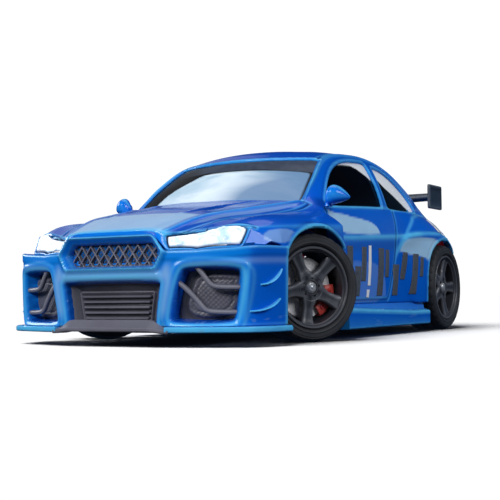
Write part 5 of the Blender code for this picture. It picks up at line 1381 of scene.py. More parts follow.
def intake_relief(x, z):
    """A raised, lightly woven plate that fills most of the recess."""
    x = np.abs(x)
    dist = shape_distance(x, z, INTAKE_PLATE)
    plate = ease(-dist, -0.25, 0.25)
    groove = bell(dist + 0.75, 0.16)
    weave = 0.05 * (np.sin(x * 9) * np.sin(z * 9))
    depth = 2.75 - 0.55 * plate + 0.12 * groove + weave * plate
    edge = 0.30 * bell(dist + 0.1, 0.16) + 0.10 * plate
    return depth, edge, 0.6 * bell(dist - 0.5, 0.35) + 0.35 * groove


def insert(name, shape, x_range, z_range, step, pattern, wall, replaces, grow=0.34):
    """A plate behind an opening. pattern(x, z) gives mm behind the bumper's face, and marks."""
    x, z = np.meshgrid(*(np.arange(low, high + step / 2, step)
                         for low, high in (x_range, z_range)), indexing="ij")
    depth, edge, gap = pattern(x, z)
    points = np.stack([x, face_y(x, z) + depth, z], -1)
    dist = shape_distance(x, z, shape).ravel()
    faces = [face for face in grid_faces(*x.shape) if dist[face].mean() < grow]
    marks = {"edge": np.clip(edge, 0, 1), "gap": np.clip(gap, 0, 1)}
    thicken(new_object(name, compact(points, faces, marks), GREY, 40, replaces), wall)


def build_inserts():
    insert("grille_mesh", GRILLE_INNER, (-8.9, 8.9), (12.0, 16.2), 0.075,
           grille_relief, 0.5, "grille_insert", grow=0.2)
    insert("cooler_core", COOLER, (-9.3, 9.3), (2.6, 10.1), 0.105,
           cooler_relief, 0.5, "intercooler_insert")
    for side, word in SIDES:
        insert("intake_floor_" + word, INTAKE * np.array([side, 1]),
               (10.0, 21.2) if side > 0 else (-21.2, -10.0), (3.5, 11.7),
               0.14, intake_relief, 0.4, "intake_insert_" + word)


def round_bar(path, radius, count):
    """Points and faces of a bar swept along a path, closed at both ends with low cones."""
    ahead = np.gradient(path, axis=0)
    ahead /= np.linalg.norm(ahead, axis=1, keepdims=True)
    points = []
    for place, tangent in zip(path, ahead):
        first = np.cross(tangent, np.array([0.0, -1.0, 0.0]))
        first /= np.linalg.norm(first)
        second = np.cross(tangent, first)
        for angle in around(count):
            points.append(place + (first * math.cos(angle) + second * math.sin(angle)) * radius)
    faces = grid_faces(len(path), count, wrap_cols=True).tolist()
    for i, sign in ((0, -1), (len(path) - 1, 1)):
        tip = len(points)
        points.append(path[i] + ahead[i] * sign * radius * 0.7)
        for k in range(count):
            here, after = i * count + k, i * count + (k + 1) % count
            faces.append((here, after, tip) if sign < 0 else (after, here, tip))
    return np.array(points), faces


INTAKE_FINS = [  # (x, z)
    [(14.2, 11.9), (14.8, 11.2), (15.9, 9.6), (16.6, 8.98), (18.0, 8.82), (21.0, 8.8)],
    [(11.6, 9.6), (12.7, 8.75), (14.4, 6.8), (15.3, 5.6), (16.3, 5.2), (20.6, 5.15)],
]


def build_intake_fins():
    ring_marks = [0.75 if k in (8, 9, 10) else 0.18 for k in range(12)]
    for side, word in SIDES:
        sheets = []
        for points in INTAKE_FINS:
            x, z = chaikin(points, 3, closed=False).T
            path = np.stack([x * side, face_y(x, z) + 0.95, z], -1)
            sheets.append((*round_bar(path, 0.40, 12),
                           {"edge": ring_marks * len(path) + [0.3, 0.3]}))
        tidy(new_object("intake_fins_" + word, merge(*sheets), GREY, 60), weld=False)


def build_lower_lip():
    """Dark lip under the lower opening: flat in the middle, its ends swept down and back."""
    rings = []
    for x in np.linspace(-10.9, 10.9, 61):
        end = ease(abs(x), 7.2, 10.6)
        y, z = -53.0 + 0.55 * end, 2.75 - 0.30 * end
        crest, inner_x, back = z + 0.26 + 1.10 - 0.85 * end, x * (1 - 0.04 * end), y - 0.7 * end
        rings.append([(x, y + 0.1, z - 0.42), (x, y, z - 0.25), (x, y + 0.02, z + 0.10),
                      (x, y + 0.25, z + 0.26), (inner_x, y + 1.05 - 0.3 * end, crest),
                      (inner_x, back + 2.4, crest), (inner_x, back + 2.4, z - 0.42)])
    loft("lower_lip", rings, GREY, [0.0, 0.35, 0.55, 0.35, 0.45, 0, 0], smooth=30)


def build_seam_liner():
    """Liner behind the seam between the shell and the bumper, painted dark as the shade in the
    seam.
    """
    narrow = 0.955
    left = [(x * narrow, y + 1.5) for x, y in FRONT_CURVE[::6]]
    rings = []
    for x, y in [(-x, y) for x, y in left[:0:-1]] + left:
        top = float(front_top(min(abs(x) / narrow, 23.5))) + 0.45
        inner_x, back = x * 0.985, y + 0.45
        rings.append([(x, y, 12.9), (x, y, top), (inner_x, back, top), (inner_x, back, 12.9)])
    loft("seam_liner_front", rings, PAINT, 0.7, kind="gap")


# Splitter blades in plan, (x, y)
SPLITTER_OUTER = [(10.3, -52.55), (13.0, -51.9), (16.6, -50.7), (20.2, -49.3), (22.2, -48.2),
                  (23.4, -46.4), (24.1, -44.2), (24.9, -39.6)]
SPLITTER_INNER = [(10.05, -50.7), (12.0, -50.0), (15.4, -48.9), (18.6, -47.6), (20.6, -46.6),
                  (21.8, -45.0), (22.6, -42.6), (22.9, -39.6)]
SPLITTER_LIP = [(0.25, 2.18), (0.06, 2.32), (0.0, 2.62), (0.06, 2.92), (0.25, 3.08)]  # inset, z


def build_splitters():
    for side, word in SIDES:
        rings = []
        for outer, inner in zip(spline(SPLITTER_OUTER, 8), spline(SPLITTER_INNER, 8)):
            out = (outer - inner) / np.linalg.norm(outer - inner)
            lip = [(side * (outer[0] - out[0] * inset), outer[1] - out[1] * inset, z)
                   for inset, z in SPLITTER_LIP]
            foot, top = ((side * inner[0], inner[1], z) for z in (2.18, 3.08))
            rings.append([foot, *lip, top])
        loft("splitter_" + word, rings, PAINT, [0.05, 0.2, 0.8, 0.9, 0.95, 0.6, 0.1], smooth=35)


CANARDS = (  # name, front y and z, rear y and z, width
    ("upper", -45.3, 9.15, -40.9, 11.35, 0.75),
    ("lower", -47.0, 5.25, -41.4, 6.95, 0.85),
)


def build_canards():
    """Two curved fins on each flank of the bumper."""
    flank = FRONT_CURVE[FRONT_CURVE[:, 0] > 20]
    half = 0.13                          # half thickness
    for side, word in SIDES:
        for which, y_front, z_front, y_rear, z_rear, wide in CANARDS:
            rings = []
            for t in np.linspace(0, 1, 22):
                y = y_front + (y_rear - y_front) * t
                z = z_front + (z_rear - z_front) * t**1.9
                root = np.interp(y, flank[:, 1], flank[:, 0]) - 0.30
                tip = root + wide * math.sin(math.pi * min(1, t * 0.80 + 0.10)) ** 0.8 + 0.30
                lift = 0.10 * t
                rings.append([(side * root, y, z - half),
                              (side * (tip - 0.15), y + 0.1, z - half + lift),
                              (side * tip, y + 0.12, z + lift),
                              (side * (tip - 0.15), y + 0.1, z + half + lift),
                              (side * root, y, z + half)])
            loft(f"canard_{which}_{word}", rings, PAINT, [0.15, 0.7, 1.0, 0.9, 0.25])


# ------------------------------------------------------------------ rear bumper
REAR_PLAN = [(0.0, 52.5), (6.0, 52.3), (10.5, 51.7), (14.3, 50.7), (17.0, 49.3), (19.0, 47.3),
             (20.4, 45.2), (21.4, 43.4), (22.2, 42.0)]
REAR_TOP = [13.55, 13.5, 13.4, 13.2, 12.95, 11.9, 11.6, 11.6, 11.6]    # z at the plan's points
REAR_LOW = 4.2
REAR_CURVE = spline(REAR_PLAN, 30)
REAR_AT = np.linspace(0, len(REAR_PLAN) - 1, len(REAR_CURVE))
# Outlines, (x, z)
DIFFUSER_CUT = chaikin([(-12.3, -2), (-12.3, 6.6), (-11.1, 7.8), (11.1, 7.8), (12.3, 6.6),
                        (12.3, -2)], 2)
VENT = chaikin([(14.0, 5.4), (16.9, 5.4), (17.6, 9.4), (17.1, 9.9), (14.9, 9.9), (14.0, 8.8)], 2)
REFLECTOR_RECESS = chaikin([(13.6, 10.7), (17.6, 10.7), (17.4, 11.35), (13.8, 11.35)], 1)
REFLECTOR = chaikin([(13.75, 10.78), (17.45, 10.78), (17.28, 11.27), (13.92, 11.27)], 2)


def rear_top(along):
    return np.interp(along, range(len(REAR_TOP)), REAR_TOP)


def rear_point(along, up):
    """The face of the rear bumper before its details."""
    x = np.interp(along, REAR_AT, REAR_CURVE[:, 0])
    y = np.interp(along, REAR_AT, REAR_CURVE[:, 1])
    z = REAR_LOW + (rear_top(along) - REAR_LOW) * up
    return np.stack([x + 0 * up, y - 0.5 * (1 - up), z], -1)


def rear_y(x, z):
    lean = 0.5 * (1 - np.clip((z - REAR_LOW) / 9, 0, 1))
    return np.interp(np.abs(x), REAR_CURVE[:, 0], REAR_CURVE[:, 1]) - lean


def build_rear_bumper():
    fields = [bumper_field(rear_point, shape)
              for shape in (DIFFUSER_CUT, VENT, REFLECTOR_RECESS)]
    along, up, points, normal = bumper_grid(
        rear_point, REAR_CURVE, REAR_AT, lambda length: int(length / (0.25)),
        int(9.4 / (0.24)), fields, reach=0.4)
    z = points[..., 2]
    diffuser, vent, reflector = (field(along, up) for field in fields)
    rise = -fillet(np.maximum(diffuser, 0), 0.45) * (diffuser < 0.45)
    rise -= fillet(np.maximum(vent, 0), 0.4) * (vent < 0.4) + 1.5 * ease(-vent, 0, 0.25)
    rise -= 0.22 * ease(-reflector, -0.1, 0.1)
    rise += 0.18 * bell(vent - 0.75, 0.35) + 0.16 * bell(diffuser - 0.85, 0.4)
    rise += 0.20 * bell(z - 12.35, 0.5)                              # rub line
    edge = 0.6 * bell(diffuser - 0.4, 0.22) + 0.6 * bell(vent - 0.4, 0.2)
    edge += 0.5 * bell(z - 12.5, 0.25)
    gap = 0.9 * ease(-vent, 0.1, 0.35) + 0.6 * bell(reflector, 0.12)
    # rounded top and end
    top = rear_top(along) - z
    rise -= fillet(top, 0.3) * (top < 0.3)
    end = (8 - along) * 1.55
    rise -= fillet(end, 0.4) * (end < 0.4)
    edge += 0.5 * bell(top - 0.22, 0.2) + 0.6 * bell(end - 0.3, 0.25)
    dist = diffuser.ravel()
    faces = [face for face in grid_faces(*along.shape, flip=True) if dist[face].min() > -0.02]
    marks = {"edge": np.clip(edge, 0, 1), "gap": np.clip(gap, 0, 1)}
    # along and up turn the other way round here, so the normal is reversed
    bumper_skin("rear_bumper_skin", points - normal * rise[..., None], faces, marks,
                0.6, "rear_bumper")


def build_reflectors():
    centre = REFLECTOR.mean(0)
    for side, word in SIDES:
        rings = [[(side * x, rear_y(x, z) + depth, z)
                  for x, z in centre + (REFLECTOR - centre) * scale]
                 for depth, scale in ((-0.15, 1.0), (0.10, 1.0), (0.17, 0.93))]
        loft("reflector_" + word, rings, TAIL)


DIFFUSER_FIN = np.array([  # (y, z)
    (46.9, 2.75), (49.5, 2.45), (51.5, 2.75), (51.75, 3.4), (51.35, 4.6), (50.9, 6.2),
    (50.2, 6.5), (49.4, 4.2), (47.0, 3.4)])
FIN_PITCH = 4.2


def build_diffuser():
    """A ramp plate with a rolled top, and five fins."""
    rings = []
    for x in np.linspace(-12.0, 12.0, 49):
        end = ease(abs(x), 10.6, 12.0)
        rings.append([(x, 47.2, 2.7), (x, 49.4, 3.0), (x, 50.4, 5.3), (x, 50.7, 7.0 - 0.7 * end),
                      (x, 50.5, 7.5 - 0.9 * end), (x, 50.1, 7.6 - 0.9 * end), (x, 49.6, 5.4),
                      (x, 48.8, 3.6), (x, 47.2, 3.2)])
    sheets = [ring_sheet(rings, [0, 0, 0.1, 0.4, 0.6, 0.2, 0, 0, 0])]
    centre = DIFFUSER_FIN.mean(0)
    for i in range(5):
        rings = [[((i - 2) * FIN_PITCH + dx, *(centre + (p - centre) * scale))
                  for p in DIFFUSER_FIN]
                 for dx, scale in ((-0.34, 0.93), (-0.30, 1.0), (0.30, 1.0), (0.34, 0.93))]
        sheets.append(ring_sheet(rings, [0, 0.3, 0.5, 0.6, 0.5, 0.4, 0.1, 0, 0]))
    tidy(new_object("diffuser", merge(*sheets), GREY, 35, "rear_diffuser"))


def build_exhausts():
    profile = [(1.0, 0.0), (1.12, 0.1), (1.14, 2.9), (1.28, 3.25), (1.24, 3.42), (1.08, 3.42),
               (0.96, 3.2), (0.92, 1.2), (0.0001, 1.1), (0.0001, 0.0)]   # (radius, offset)
    pipes = [move(revolve(profile, 40), shift(side * 9.0, 49.6, 5.6) @ turn(90, "Z"))
             for side, _ in SIDES]
    tidy(new_object("exhaust_tips", merge(*pipes), STEEL))


# ------------------------------------------------------------------ side skirts and mirrors
def build_skirts():
    front = FRONT_ARCH[0] + FRONT_ARCH[1] + 0.5
    rear = REAR_ARCH[0] - REAR_ARCH[1] - 0.4
    marks = [0, 0.2, 0.55, 0.2, 0.0, 0.75, 1.0, 0.6, 0.2, 0.1, 0, 0]
    for side, word in SIDES:
        rings = []
        for y in np.linspace(front, rear, 90):
            ledge = 5.15 - 1.15 * (y - front) / (rear - front) + 0.25 * ease(y, 12.0, 19.5)
            out = 23.35 + 0.25 * ease(y, front, front + 1.2) + 0.35 * ease(y, rear - 4.5, rear)
            section = [(20.6, 1.62), (out - 0.35, 1.55), (out - 0.05, 1.75), (out, 2.1),
                       (out - 0.06, ledge - 0.95), (out + 0.04, ledge - 0.45),
                       (out - 0.04, ledge - 0.15), (out - 0.30, ledge + 0.05),
                       (22.65, ledge + 0.30), (22.42, 5.80), (22.2, 5.88), (20.6, 5.88)]
            rings.append([(side * x, y, z) for x, z in section])
        loft("skirt_" + word, rings, PAINT, marks, smooth=35, replaces="side_skirt_" + word)


MIRROR_SECTIONS = [  # x, centre y, centre z, half width, half height, lift of the upper half
    (20.35, -18.75, 23.75, 0.55, 0.55, 0), (20.8, -18.8, 23.95, 1.05, 1.05, 0.05),
    (21.35, -18.75, 24.25, 1.65, 1.65, 0.1), (22.1, -18.5, 24.4, 1.85, 1.62, 0.1),
    (22.9, -18.2, 24.35, 1.70, 1.32, 0.05), (23.6, -17.95, 24.15, 1.2, 0.86, 0),
    (24.15, -17.7, 23.95, 0.6, 0.40, 0), (24.35, -17.6, 23.9, 0.2, 0.15, 0)]


def build_mirror_cap(side, word):
    """Leaf section: rounded in front, flatter behind."""
    rings = []
    for x, mid_y, mid_z, wide, tall, lift in MIRROR_SECTIONS:
        ring = []
        for i in range(20):
            angle = 2 * math.pi * i / 20
            cosine, sine = math.cos(angle), math.sin(angle)
            back = math.copysign(abs(cosine) ** 0.85, cosine) * (1.0 if cosine < 0 else 0.72)
            up = math.copysign(abs(sine) ** 0.9, sine)
            ring.append((side * x, mid_y + wide * back, mid_z + tall * up + lift * (sine > 0)))
        rings.append(ring)
    angles = around(20)
    # painted highlights on the upper front and the front of the cap
    marks = 0.9 * bell(angles - math.pi * 0.62, 0.28) + 0.25 * bell(angles - math.pi * 1.05, 0.3)
    cap = loft("mirror_cap_" + word, rings, PAINT, marks, smooth=60, replaces="mirror_" + word)
    rounding = cap.modifiers.new("round", "SUBSURF")
    rounding.levels = rounding.render_levels = 2


def build_mirrors():
    for side, word in SIDES:
        build_mirror_cap(side, word)
        foot = [[(side * (20.75 + 0.62 * scale * math.cos(a)), -18.5 + 0.95 * scale * math.sin(a),
                  z) for a in around(14)]
                for z, scale in ((22.45, 1.0), (22.9, 0.86), (23.4, 0.8), (23.9, 0.9))]
        loft("mirror_foot_" + word, foot, PAINT, smooth=60)
        glass = [[(side * (22.35 + 1.05 * scale * math.cos(a)),
                   -17.28 + depth - 0.16 * math.cos(a), 24.28 + 0.92 * scale * math.sin(a))
                  for a in around(24)]
                 for depth, scale in ((0.0, 0.9), (0.10, 1.0), (0.16, 0.94))]
        loft("mirror_glass_" + word, glass, STEEL, smooth=60)


# ------------------------------------------------------------------ rear wing
WING_Y, WING_Z = 43.4, 28.6              # centre of the end plates
WING_LONG, WING_TALL = 7.6, 5.3
WING_CHORD, WING_THICK = 7.2, 0.17       # thickness as a share of the chord
STRUT_X = 8.0


def aerofoil(count=18):
    """(along, up) points: the upper face from the front, then the lower face back again."""
    at = [WING_CHORD * (0.5 - 0.5 * math.cos(math.pi * i / count)) for i in range(count + 1)]

    def half(distance):
        part = distance / WING_CHORD
        shape = (0.2969 * math.sqrt(part) - 0.126 * part - 0.3516 * part**2
                 + 0.2843 * part**3 - 0.1015 * part**4)
        return 5 * WING_THICK * WING_CHORD * shape + 0.10

    def camber(distance):
        return -0.07 * WING_CHORD * math.sin(math.pi * distance / WING_CHORD)

    return [(d, camber(d) + half(d)) for d in at] + [(d, camber(d) - half(d)) for d in at[::-1]]


def build_wing_blade():
    profile = aerofoil()
    rings = [[(x, WING_Y - 3.6 + d, WING_Z - 0.3 + z + d * 0.14 + 0.25 * (abs(x) / 16.3) ** 2)
              for d, z in profile] for x in np.linspace(-16.25, 16.25, 41)]
    marks = np.full(len(profile), 0.05)
    marks[[0, 1, 2, -1, -2]] = 0.8
    marks[17:21] = 0.5
    loft("wing_blade", rings, SLATE, marks, replaces="rear_wing")
    # upright strip along the blade's rear edge: (y, z) from the wing's centre
    strip = [(3.35, 0.45), (3.35, 1.25), (3.45, 1.32), (3.6, 1.25), (3.6, 0.45)]
    rings = [[(x, WING_Y + y, WING_Z + z) for y, z in strip]
             for x in np.linspace(-16.2, 16.2, 21)]
    loft("wing_gurney", rings, SLATE, [0, 0.4, 0.8, 0.4, 0])


PLATE_LAYERS = (  # dx, inset, edge mark
    (-0.30, 0.20, 0.1), (-0.22, 0.04, 0.6), (-0.10, 0.0, 0.4), (0.12, 0.0, 0.35),
    (0.26, 0.05, 0.9), (0.33, 0.24, 0.75), (0.33, 0.55, 0.35), (0.24, 0.72, 0.0),
    (0.24, 1.6, 0.0))


def build_wing_plate(side, word):
    front, rear = WING_Y - WING_LONG / 2, WING_Y + WING_LONG / 2
    low, high = WING_Z - WING_TALL / 2, WING_Z + WING_TALL / 2
    cut = 0.9
    plate = chaikin([(front, low), (front + cut, low), (rear - cut, low), (rear, low),
                     (rear, low + cut), (rear, high - cut), (rear, high), (rear - cut, high),
                     (front + cut, high), (front, high), (front, high - cut),
                     (front, low + cut)], 2)
    centre = plate.mean(0)
    arms = plate - centre
    rings = []
    for dx, inset, _ in PLATE_LAYERS:
        scale = 1 - inset / np.abs(arms).max(0)
        rings.append([(side * (16.5 + dx), *(centre + arm * scale)) for arm in arms])
    marks = np.array([[mark] for _, _, mark in PLATE_LAYERS])
    loft("wing_plate_" + word, rings, SLATE, marks)


def build_wing_strut(side, word, skin):
    """Curved strut from the boot up to the blade."""
    def top_at(y):
        hit = skin.ray_cast(Vector((side * STRUT_X, y, 60)) * MM, Vector((0, 0, -1)))[0]
        return float(hit.z / MM)

    foot = min(top_at(WING_Y - 2.2), top_at(WING_Y + 1.2)) - 0.25
    outline = chaikin([(WING_Y + dy, z) for dy, z in (
        (-2.3, foot), (-2.3, foot + 0.9), (-1.3, 25.6), (-1.5, 27.6), (-1.2, 28.9),
        (0.9, 28.9), (0.9, 27.4), (0.5, 25.4), (1.5, foot + 0.9), (1.5, foot))], 1)
    centre = outline.mean(0)
    rings = [[(side * STRUT_X + dx, *(centre + (p - centre) * np.array([scale, 1.0])))
              for p in outline]
             for dx, scale in ((-0.42, 0.90), (-0.34, 1.0), (0.34, 1.0), (0.42, 0.90))]
    loft("wing_strut_" + word, rings, SLATE, [[0.3], [0.6], [0.6], [0.3]])


def build_wing(skin):
    build_wing_blade()
    for side, word in SIDES:
        build_wing_plate(side, word)
        build_wing_strut(side, word, skin)


# ------------------------------------------------------------------ wheels
# Each part is made at the origin, with its axle along X and its outer face to +X.
SPIN = {"front_left": 46, "front_right": 10, "rear_left": 0, "rear_right": 30}   # degrees
SPOKES = 5
TYRE_SIDE = [  # (radius, offset)
    (6.60, 2.2), (6.62, 3.05), (6.72, 3.38), (6.90, 3.50), (7.02, 3.60), (7.16, 3.62),
    (7.26, 3.54), (7.36, 3.53), (7.75, 3.60), (7.86, 3.585), (7.93, 3.50), (8.02, 3.50),
    (8.10, 3.52), (8.25, 3.42), (8.38, 3.26), (8.48, 3.08), (8.58, 2.82), (8.65, 2.5),
    (8.69, 2.25)]
TYRE_TREAD = [
    (8.695, 2.08), (8.50, 2.02), (8.50, 1.82), (8.70, 1.76), (8.705, 1.2), (8.705, 0.62),
    (8.50, 0.56), (8.50, 0.32), (8.70, 0.26), (8.705, 0.0)]


def tyre_sheet():
    half = TYRE_SIDE + TYRE_TREAD
    profile = half + [(r, -offset) for r, offset in half[-2::-1]]
    angle, radius, offset = turned_grid(profile, 160)
    # shallow slanted cuts across the shoulders
    cut = np.zeros(radius.shape)
    slant = 0.035 * np.sign(offset) * (np.abs(offset) - 2.0)
    for i in range(32):
        away = (angle - 2 * np.pi * i / 32 - slant + np.pi) % (2 * np.pi) - np.pi
        line = bell(away * 8.7, 0.17) * ease(np.abs(offset), 2.15, 2.3) * (radius > 8.3)
        cut = np.maximum(cut, line)
    wall = np.abs(offset) > 3
    edge = (0.35 * bell(radius - 7.12, 0.06) + 0.28 * bell(radius - 7.8, 0.06)
            + 0.25 * bell(radius - 8.4, 0.1)) * wall
    groove = (radius < 8.55) & (np.abs(offset) < 2.1)
    gap = np.clip(groove * 0.8 + 0.7 * cut, 0, 1)
    return turned_sheet(angle, radius - 0.13 * cut, offset, edge=edge, gap=gap)


RIM_BARREL = [  # (radius, offset, edge mark)
    (6.56, 3.32, 0.15), (6.42, 3.44, 0.65), (6.20, 3.42, 0.55), (6.08, 3.28, 0.1),
    (6.00, 3.02, 0.05), (5.93, 2.94, 0.45), (5.84, 2.90, 0.25), (5.80, 2.6, 0), (5.79, 0.0, 0),
    (5.80, -2.9, 0), (6.2, -3.28, 0.2), (6.56, -3.3, 0.1), (6.40, -2.4, 0), (6.42, 2.2, 0)]


def spoke_sheet():
    rings = []
    for radius in np.concatenate([np.linspace(1.35, 5.2, 14), np.linspace(5.4, 6.02, 7)]):
        wide = np.interp(radius, [1.3, 2.1, 2.8, 3.5, 5.0, 6.1],
                         [1.62, 1.36, 1.10, 0.98, 1.12, 1.36])
        front = np.interp(radius, [1.3, 2.2, 3.2, 5.0, 5.5, 6.1],
                          [2.62, 2.62, 2.50, 2.66, 2.78, 2.86])
        back = np.interp(radius, [1.3, 3.4, 6.1], [1.35, 1.55, 1.75])
        half = [(-wide, back), (-wide, front - 0.42), (-wide + 0.05, front - 0.28),
                (-wide + 0.26, front - 0.04), (-wide + 0.36, front), (-0.22, front - 0.07)]
        section = half + [(-across, offset) for across, offset in half[::-1]]
        rings.append([(offset, radius, across) for across, offset in section])
    return ring_sheet(rings, [0, 0.0, 0.25, 0.75, 0.85, 0.0, 0.0, 0.85, 0.75, 0.25, 0.0, 0])


def hub_sheet():
    """Hub face with five round recesses between the spokes."""
    profile = ([(1.02, 1.0), (1.02, 2.30), (1.08, 2.58), (1.16, 2.66), (1.22, 2.66),
                (1.28, 2.60), (1.34, 2.55)]
               + [(r, 2.55) for r in np.linspace(1.42, 2.02, 9)]
               + [(2.08, 2.60), (2.16, 2.62), (2.24, 2.55), (2.29, 2.40), (2.31, 2.1),
                  (2.31, 1.0)])
    angle, radius, offset = turned_grid(profile, 100)
    y, z = radius * np.cos(angle), radius * np.sin(angle)
    pit, pit_rim = np.zeros(radius.shape), np.zeros(radius.shape)
    for k in range(SPOKES):
        at = math.radians(72 * k + 36)
        away = np.hypot(y - 1.70 * math.cos(at), z - 1.70 * math.sin(at))
        pit = np.maximum(pit, ease(-away, -0.33, -0.22))
        pit_rim = np.maximum(pit_rim, bell(away - 0.36, 0.08))
    offset = offset - 0.30 * pit * (offset > 2.3)
    edge = 0.5 * pit_rim + 0.8 * bell(radius - 1.19, 0.05) + 0.8 * bell(radius - 2.18, 0.06)
    return turned_sheet(angle, radius, offset, edge=np.clip(edge, 0, 1),
                        gap=0.9 * pit * (offset > 2.0))


def rim_sheet():
    barrel = np.array(RIM_BARREL)
    spoke = spoke_sheet()
    return merge(revolve(barrel[:, :2], 110, edge=barrel[:, 2]),
                 *(move(spoke, turn(72 * k, "X")) for k in range(SPOKES)), hub_sheet())


def disc_sheet():
    """Brake disc with twelve curved slots and three holes beside each."""
    face = [2.62, 2.75, *np.linspace(2.85, 4.75, 22), 4.84]
    profile = ([(1.15, 0.95), (1.25, 1.05), (2.2, 1.05), (2.35, 0.98), (2.45, 0.7), (2.5, 0.5)]
               + [(r, 0.5) for r in face]
               + [(4.9, 0.45), (4.9, 0.05), (4.84, 0.0), (2.5, 0.0), (1.15, 0.0)])
    angle, radius, offset = turned_grid(profile, 150)
    y, z = radius * np.cos(angle), radius * np.sin(angle)
    slot = np.zeros(radius.shape)
    for i in range(12):
        start = 2 * np.pi * i / 12
        away = (angle - start - 0.10 * (radius - 2.9) + np.pi) % (2 * np.pi) - np.pi
        slot = np.maximum(slot, bell(away * radius, 0.10) * span(radius, 3.0, 3.15, 4.4, 4.55))
        for hole in (3.3, 3.85, 4.4):
            at = start + 0.16 + 0.10 * (hole - 2.9)
            away = np.hypot(y - hole * math.cos(at), z - hole * math.sin(at))
            slot = np.maximum(slot, ease(-away, -0.15, -0.07))
    slot = slot * ((offset > 0.48) & (offset < 0.52))
    return turned_sheet(angle, radius, offset - 0.12 * slot, gap=slot,
                        edge=0.4 * bell(radius - 4.85, 0.06))


CALIPER = [  # (offset, radius, edge mark)
    (-0.78, 3.35, 0.2), (-0.32, 3.3, 0), (-0.30, 5.13, 0), (0.80, 5.13, 0), (0.82, 3.3, 0),
    (1.15, 3.38, 0.5), (1.27, 3.6, 0.8), (1.27, 5.0, 0.5), (1.12, 5.34, 0.9), (0.85, 5.48, 0.5),
    (-0.45, 5.48, 0.2), (-0.70, 5.34, 0.4), (-0.80, 5.1, 0.2)]


def caliper_sheet():
    """A bent block over the disc, pinched at both ends, with three round bosses."""
    rings = []
    for i, angle in enumerate(np.radians(np.linspace(-60, 6, 26))):
        t = i / 25
        pinch = 1 - 0.16 * (bell(t, 0.10) + bell(t - 1, 0.10))
        waist = 0.10 * bell(t - 0.5, 0.07)
        ring = []
        for offset, radius, _ in CALIPER:
            away = 4.4 + (radius - 4.4) * pinch - (waist if radius > 5.1 else 0)
            if radius > 5.2 or abs(offset) > 0.9:
                offset = 0.225 + (offset - 0.225) * (1 - 0.10 * (1 - pinch) * 4)
            ring.append((offset, away * math.cos(angle), away * math.sin(angle)))
        rings.append(ring)
    sheets = [ring_sheet(rings, [mark for _, _, mark in CALIPER])]
    profile = [(0.0001, 0.0), (0.52, 0.0), (0.52, 0.16), (0.44, 0.24), (0.30, 0.24),
               (0.26, 0.18), (0.0001, 0.18)]
    boss = revolve(profile, 24, edge=[0, 0.2, 0.7, 0.6, 0.4, 0, 0])
    for degrees in (-45, -27, -9):
        angle = math.radians(degrees)
        sheets.append(move(boss, shift(1.20, 4.3 * math.cos(angle), 4.3 * math.sin(angle))))
    return merge(*sheets)


# Bright domed head of the axle in the middle of each wheel, with a shallow ring
PIN_PROFILE = [  # (radius, offset)
    (0.0001, 2.60), (0.0001, 2.98), (0.30, 2.965), (0.36, 2.93), (0.42, 2.955), (0.62, 2.90),
    (0.82, 2.78), (0.94, 2.62), (0.98, 2.45), (0.98, 2.25), (0.60, 2.2), (0.60, 1.2),
    (0.0001, 1.2)]


def build_wheels():
    tyre, rim, disc, caliper = tyre_sheet(), rim_sheet(), disc_sheet(), caliper_sheet()
    pin = revolve(PIN_PROFILE, 40)
    for end in ("front", "rear"):
        for side, word in SIDES:
            flip = Matrix.Scale(-1, 4, (1, 0, 0)) if side < 0 else Matrix.Identity(4)
            if end == "front":
                place = shift(side * FRONT_WHEEL_X, FRONT_Y, AXLE_Z) @ flip
                steer = (shift(side * KINGPIN_X, FRONT_Y, 0) @ turn(STEER_REST, "Z")
                         @ shift(-side * KINGPIN_X, -FRONT_Y, 0))
                place = steer @ place
                body, fixed = "wheel_front_" + word[0], "knuckle_" + word[0]
            else:
                place = shift(side * REAR_WHEEL_X, REAR_Y, AXLE_Z) @ flip
                body = fixed = "rear_axle_body"
            key = f"{end}_{word}"
            tidy(new_object(f"tyre_{key}_skin", move(tyre, place), TYRE, 40,
                            f"tyre_{key}", body))
            spun = place @ turn(SPIN[key], "X")
            tidy(new_object(f"wheel_{key}", move(rim, spun), RIM, 35, f"rim_{key}", body))
            tidy(new_object(f"hub_pin_{key}", move(pin, place), STEEL, body=fixed))
            if end == "front":
                tidy(new_object(f"disc_{word}", move(disc, place), DISC, 35,
                                f"brake_disc_{word}", body))
                tidy(new_object(f"caliper_{word}", move(caliper, place), RED, 40,
                                f"brake_caliper_{word}", fixed))


# ------------------------------------------------------------------ stickers
def sticker(name, corners, finish, side, skin):
    """A thin sheet on the car's side. Corners are (y, z): foot front, foot rear, top rear,
    top front."""
    foot_front, foot_rear, top_rear, top_front = (np.array(p, float) for p in corners)
    step = 0.16
    rows = max(3, int(np.linalg.norm(foot_rear - foot_front) / step))
    cols = max(4, int(np.linalg.norm(top_front - foot_front) / step))
    points, place = [], np.array((21.5, *foot_front))
    for i in np.linspace(0, 1, rows):
        for j in np.linspace(0, 1, cols):
            y, z = ((foot_front * (1 - i) + foot_rear * i) * (1 - j)
                    + (top_front * (1 - i) + top_rear * i) * j)
            hit, normal, _, _ = skin.ray_cast(Vector((60, y, z)) * MM, Vector((-1, 0, 0)))
            if hit is not None:
                place = np.array(hit) / MM + np.array(normal) * 0.04
            points.append((place[0] * side, place[1], place[2]))
    film = new_object(name, (np.array(points), grid_faces(rows, cols), {}), finish, 60)
    mesh = bmesh.new()
    mesh.from_mesh(film.data)
    for face in mesh.faces:
        if face.normal.x * side < 0:
            face.normal_flip()
    mesh.to_mesh(film.data)
    mesh.free()
    thicken(film, 0.05, offset=1.0)


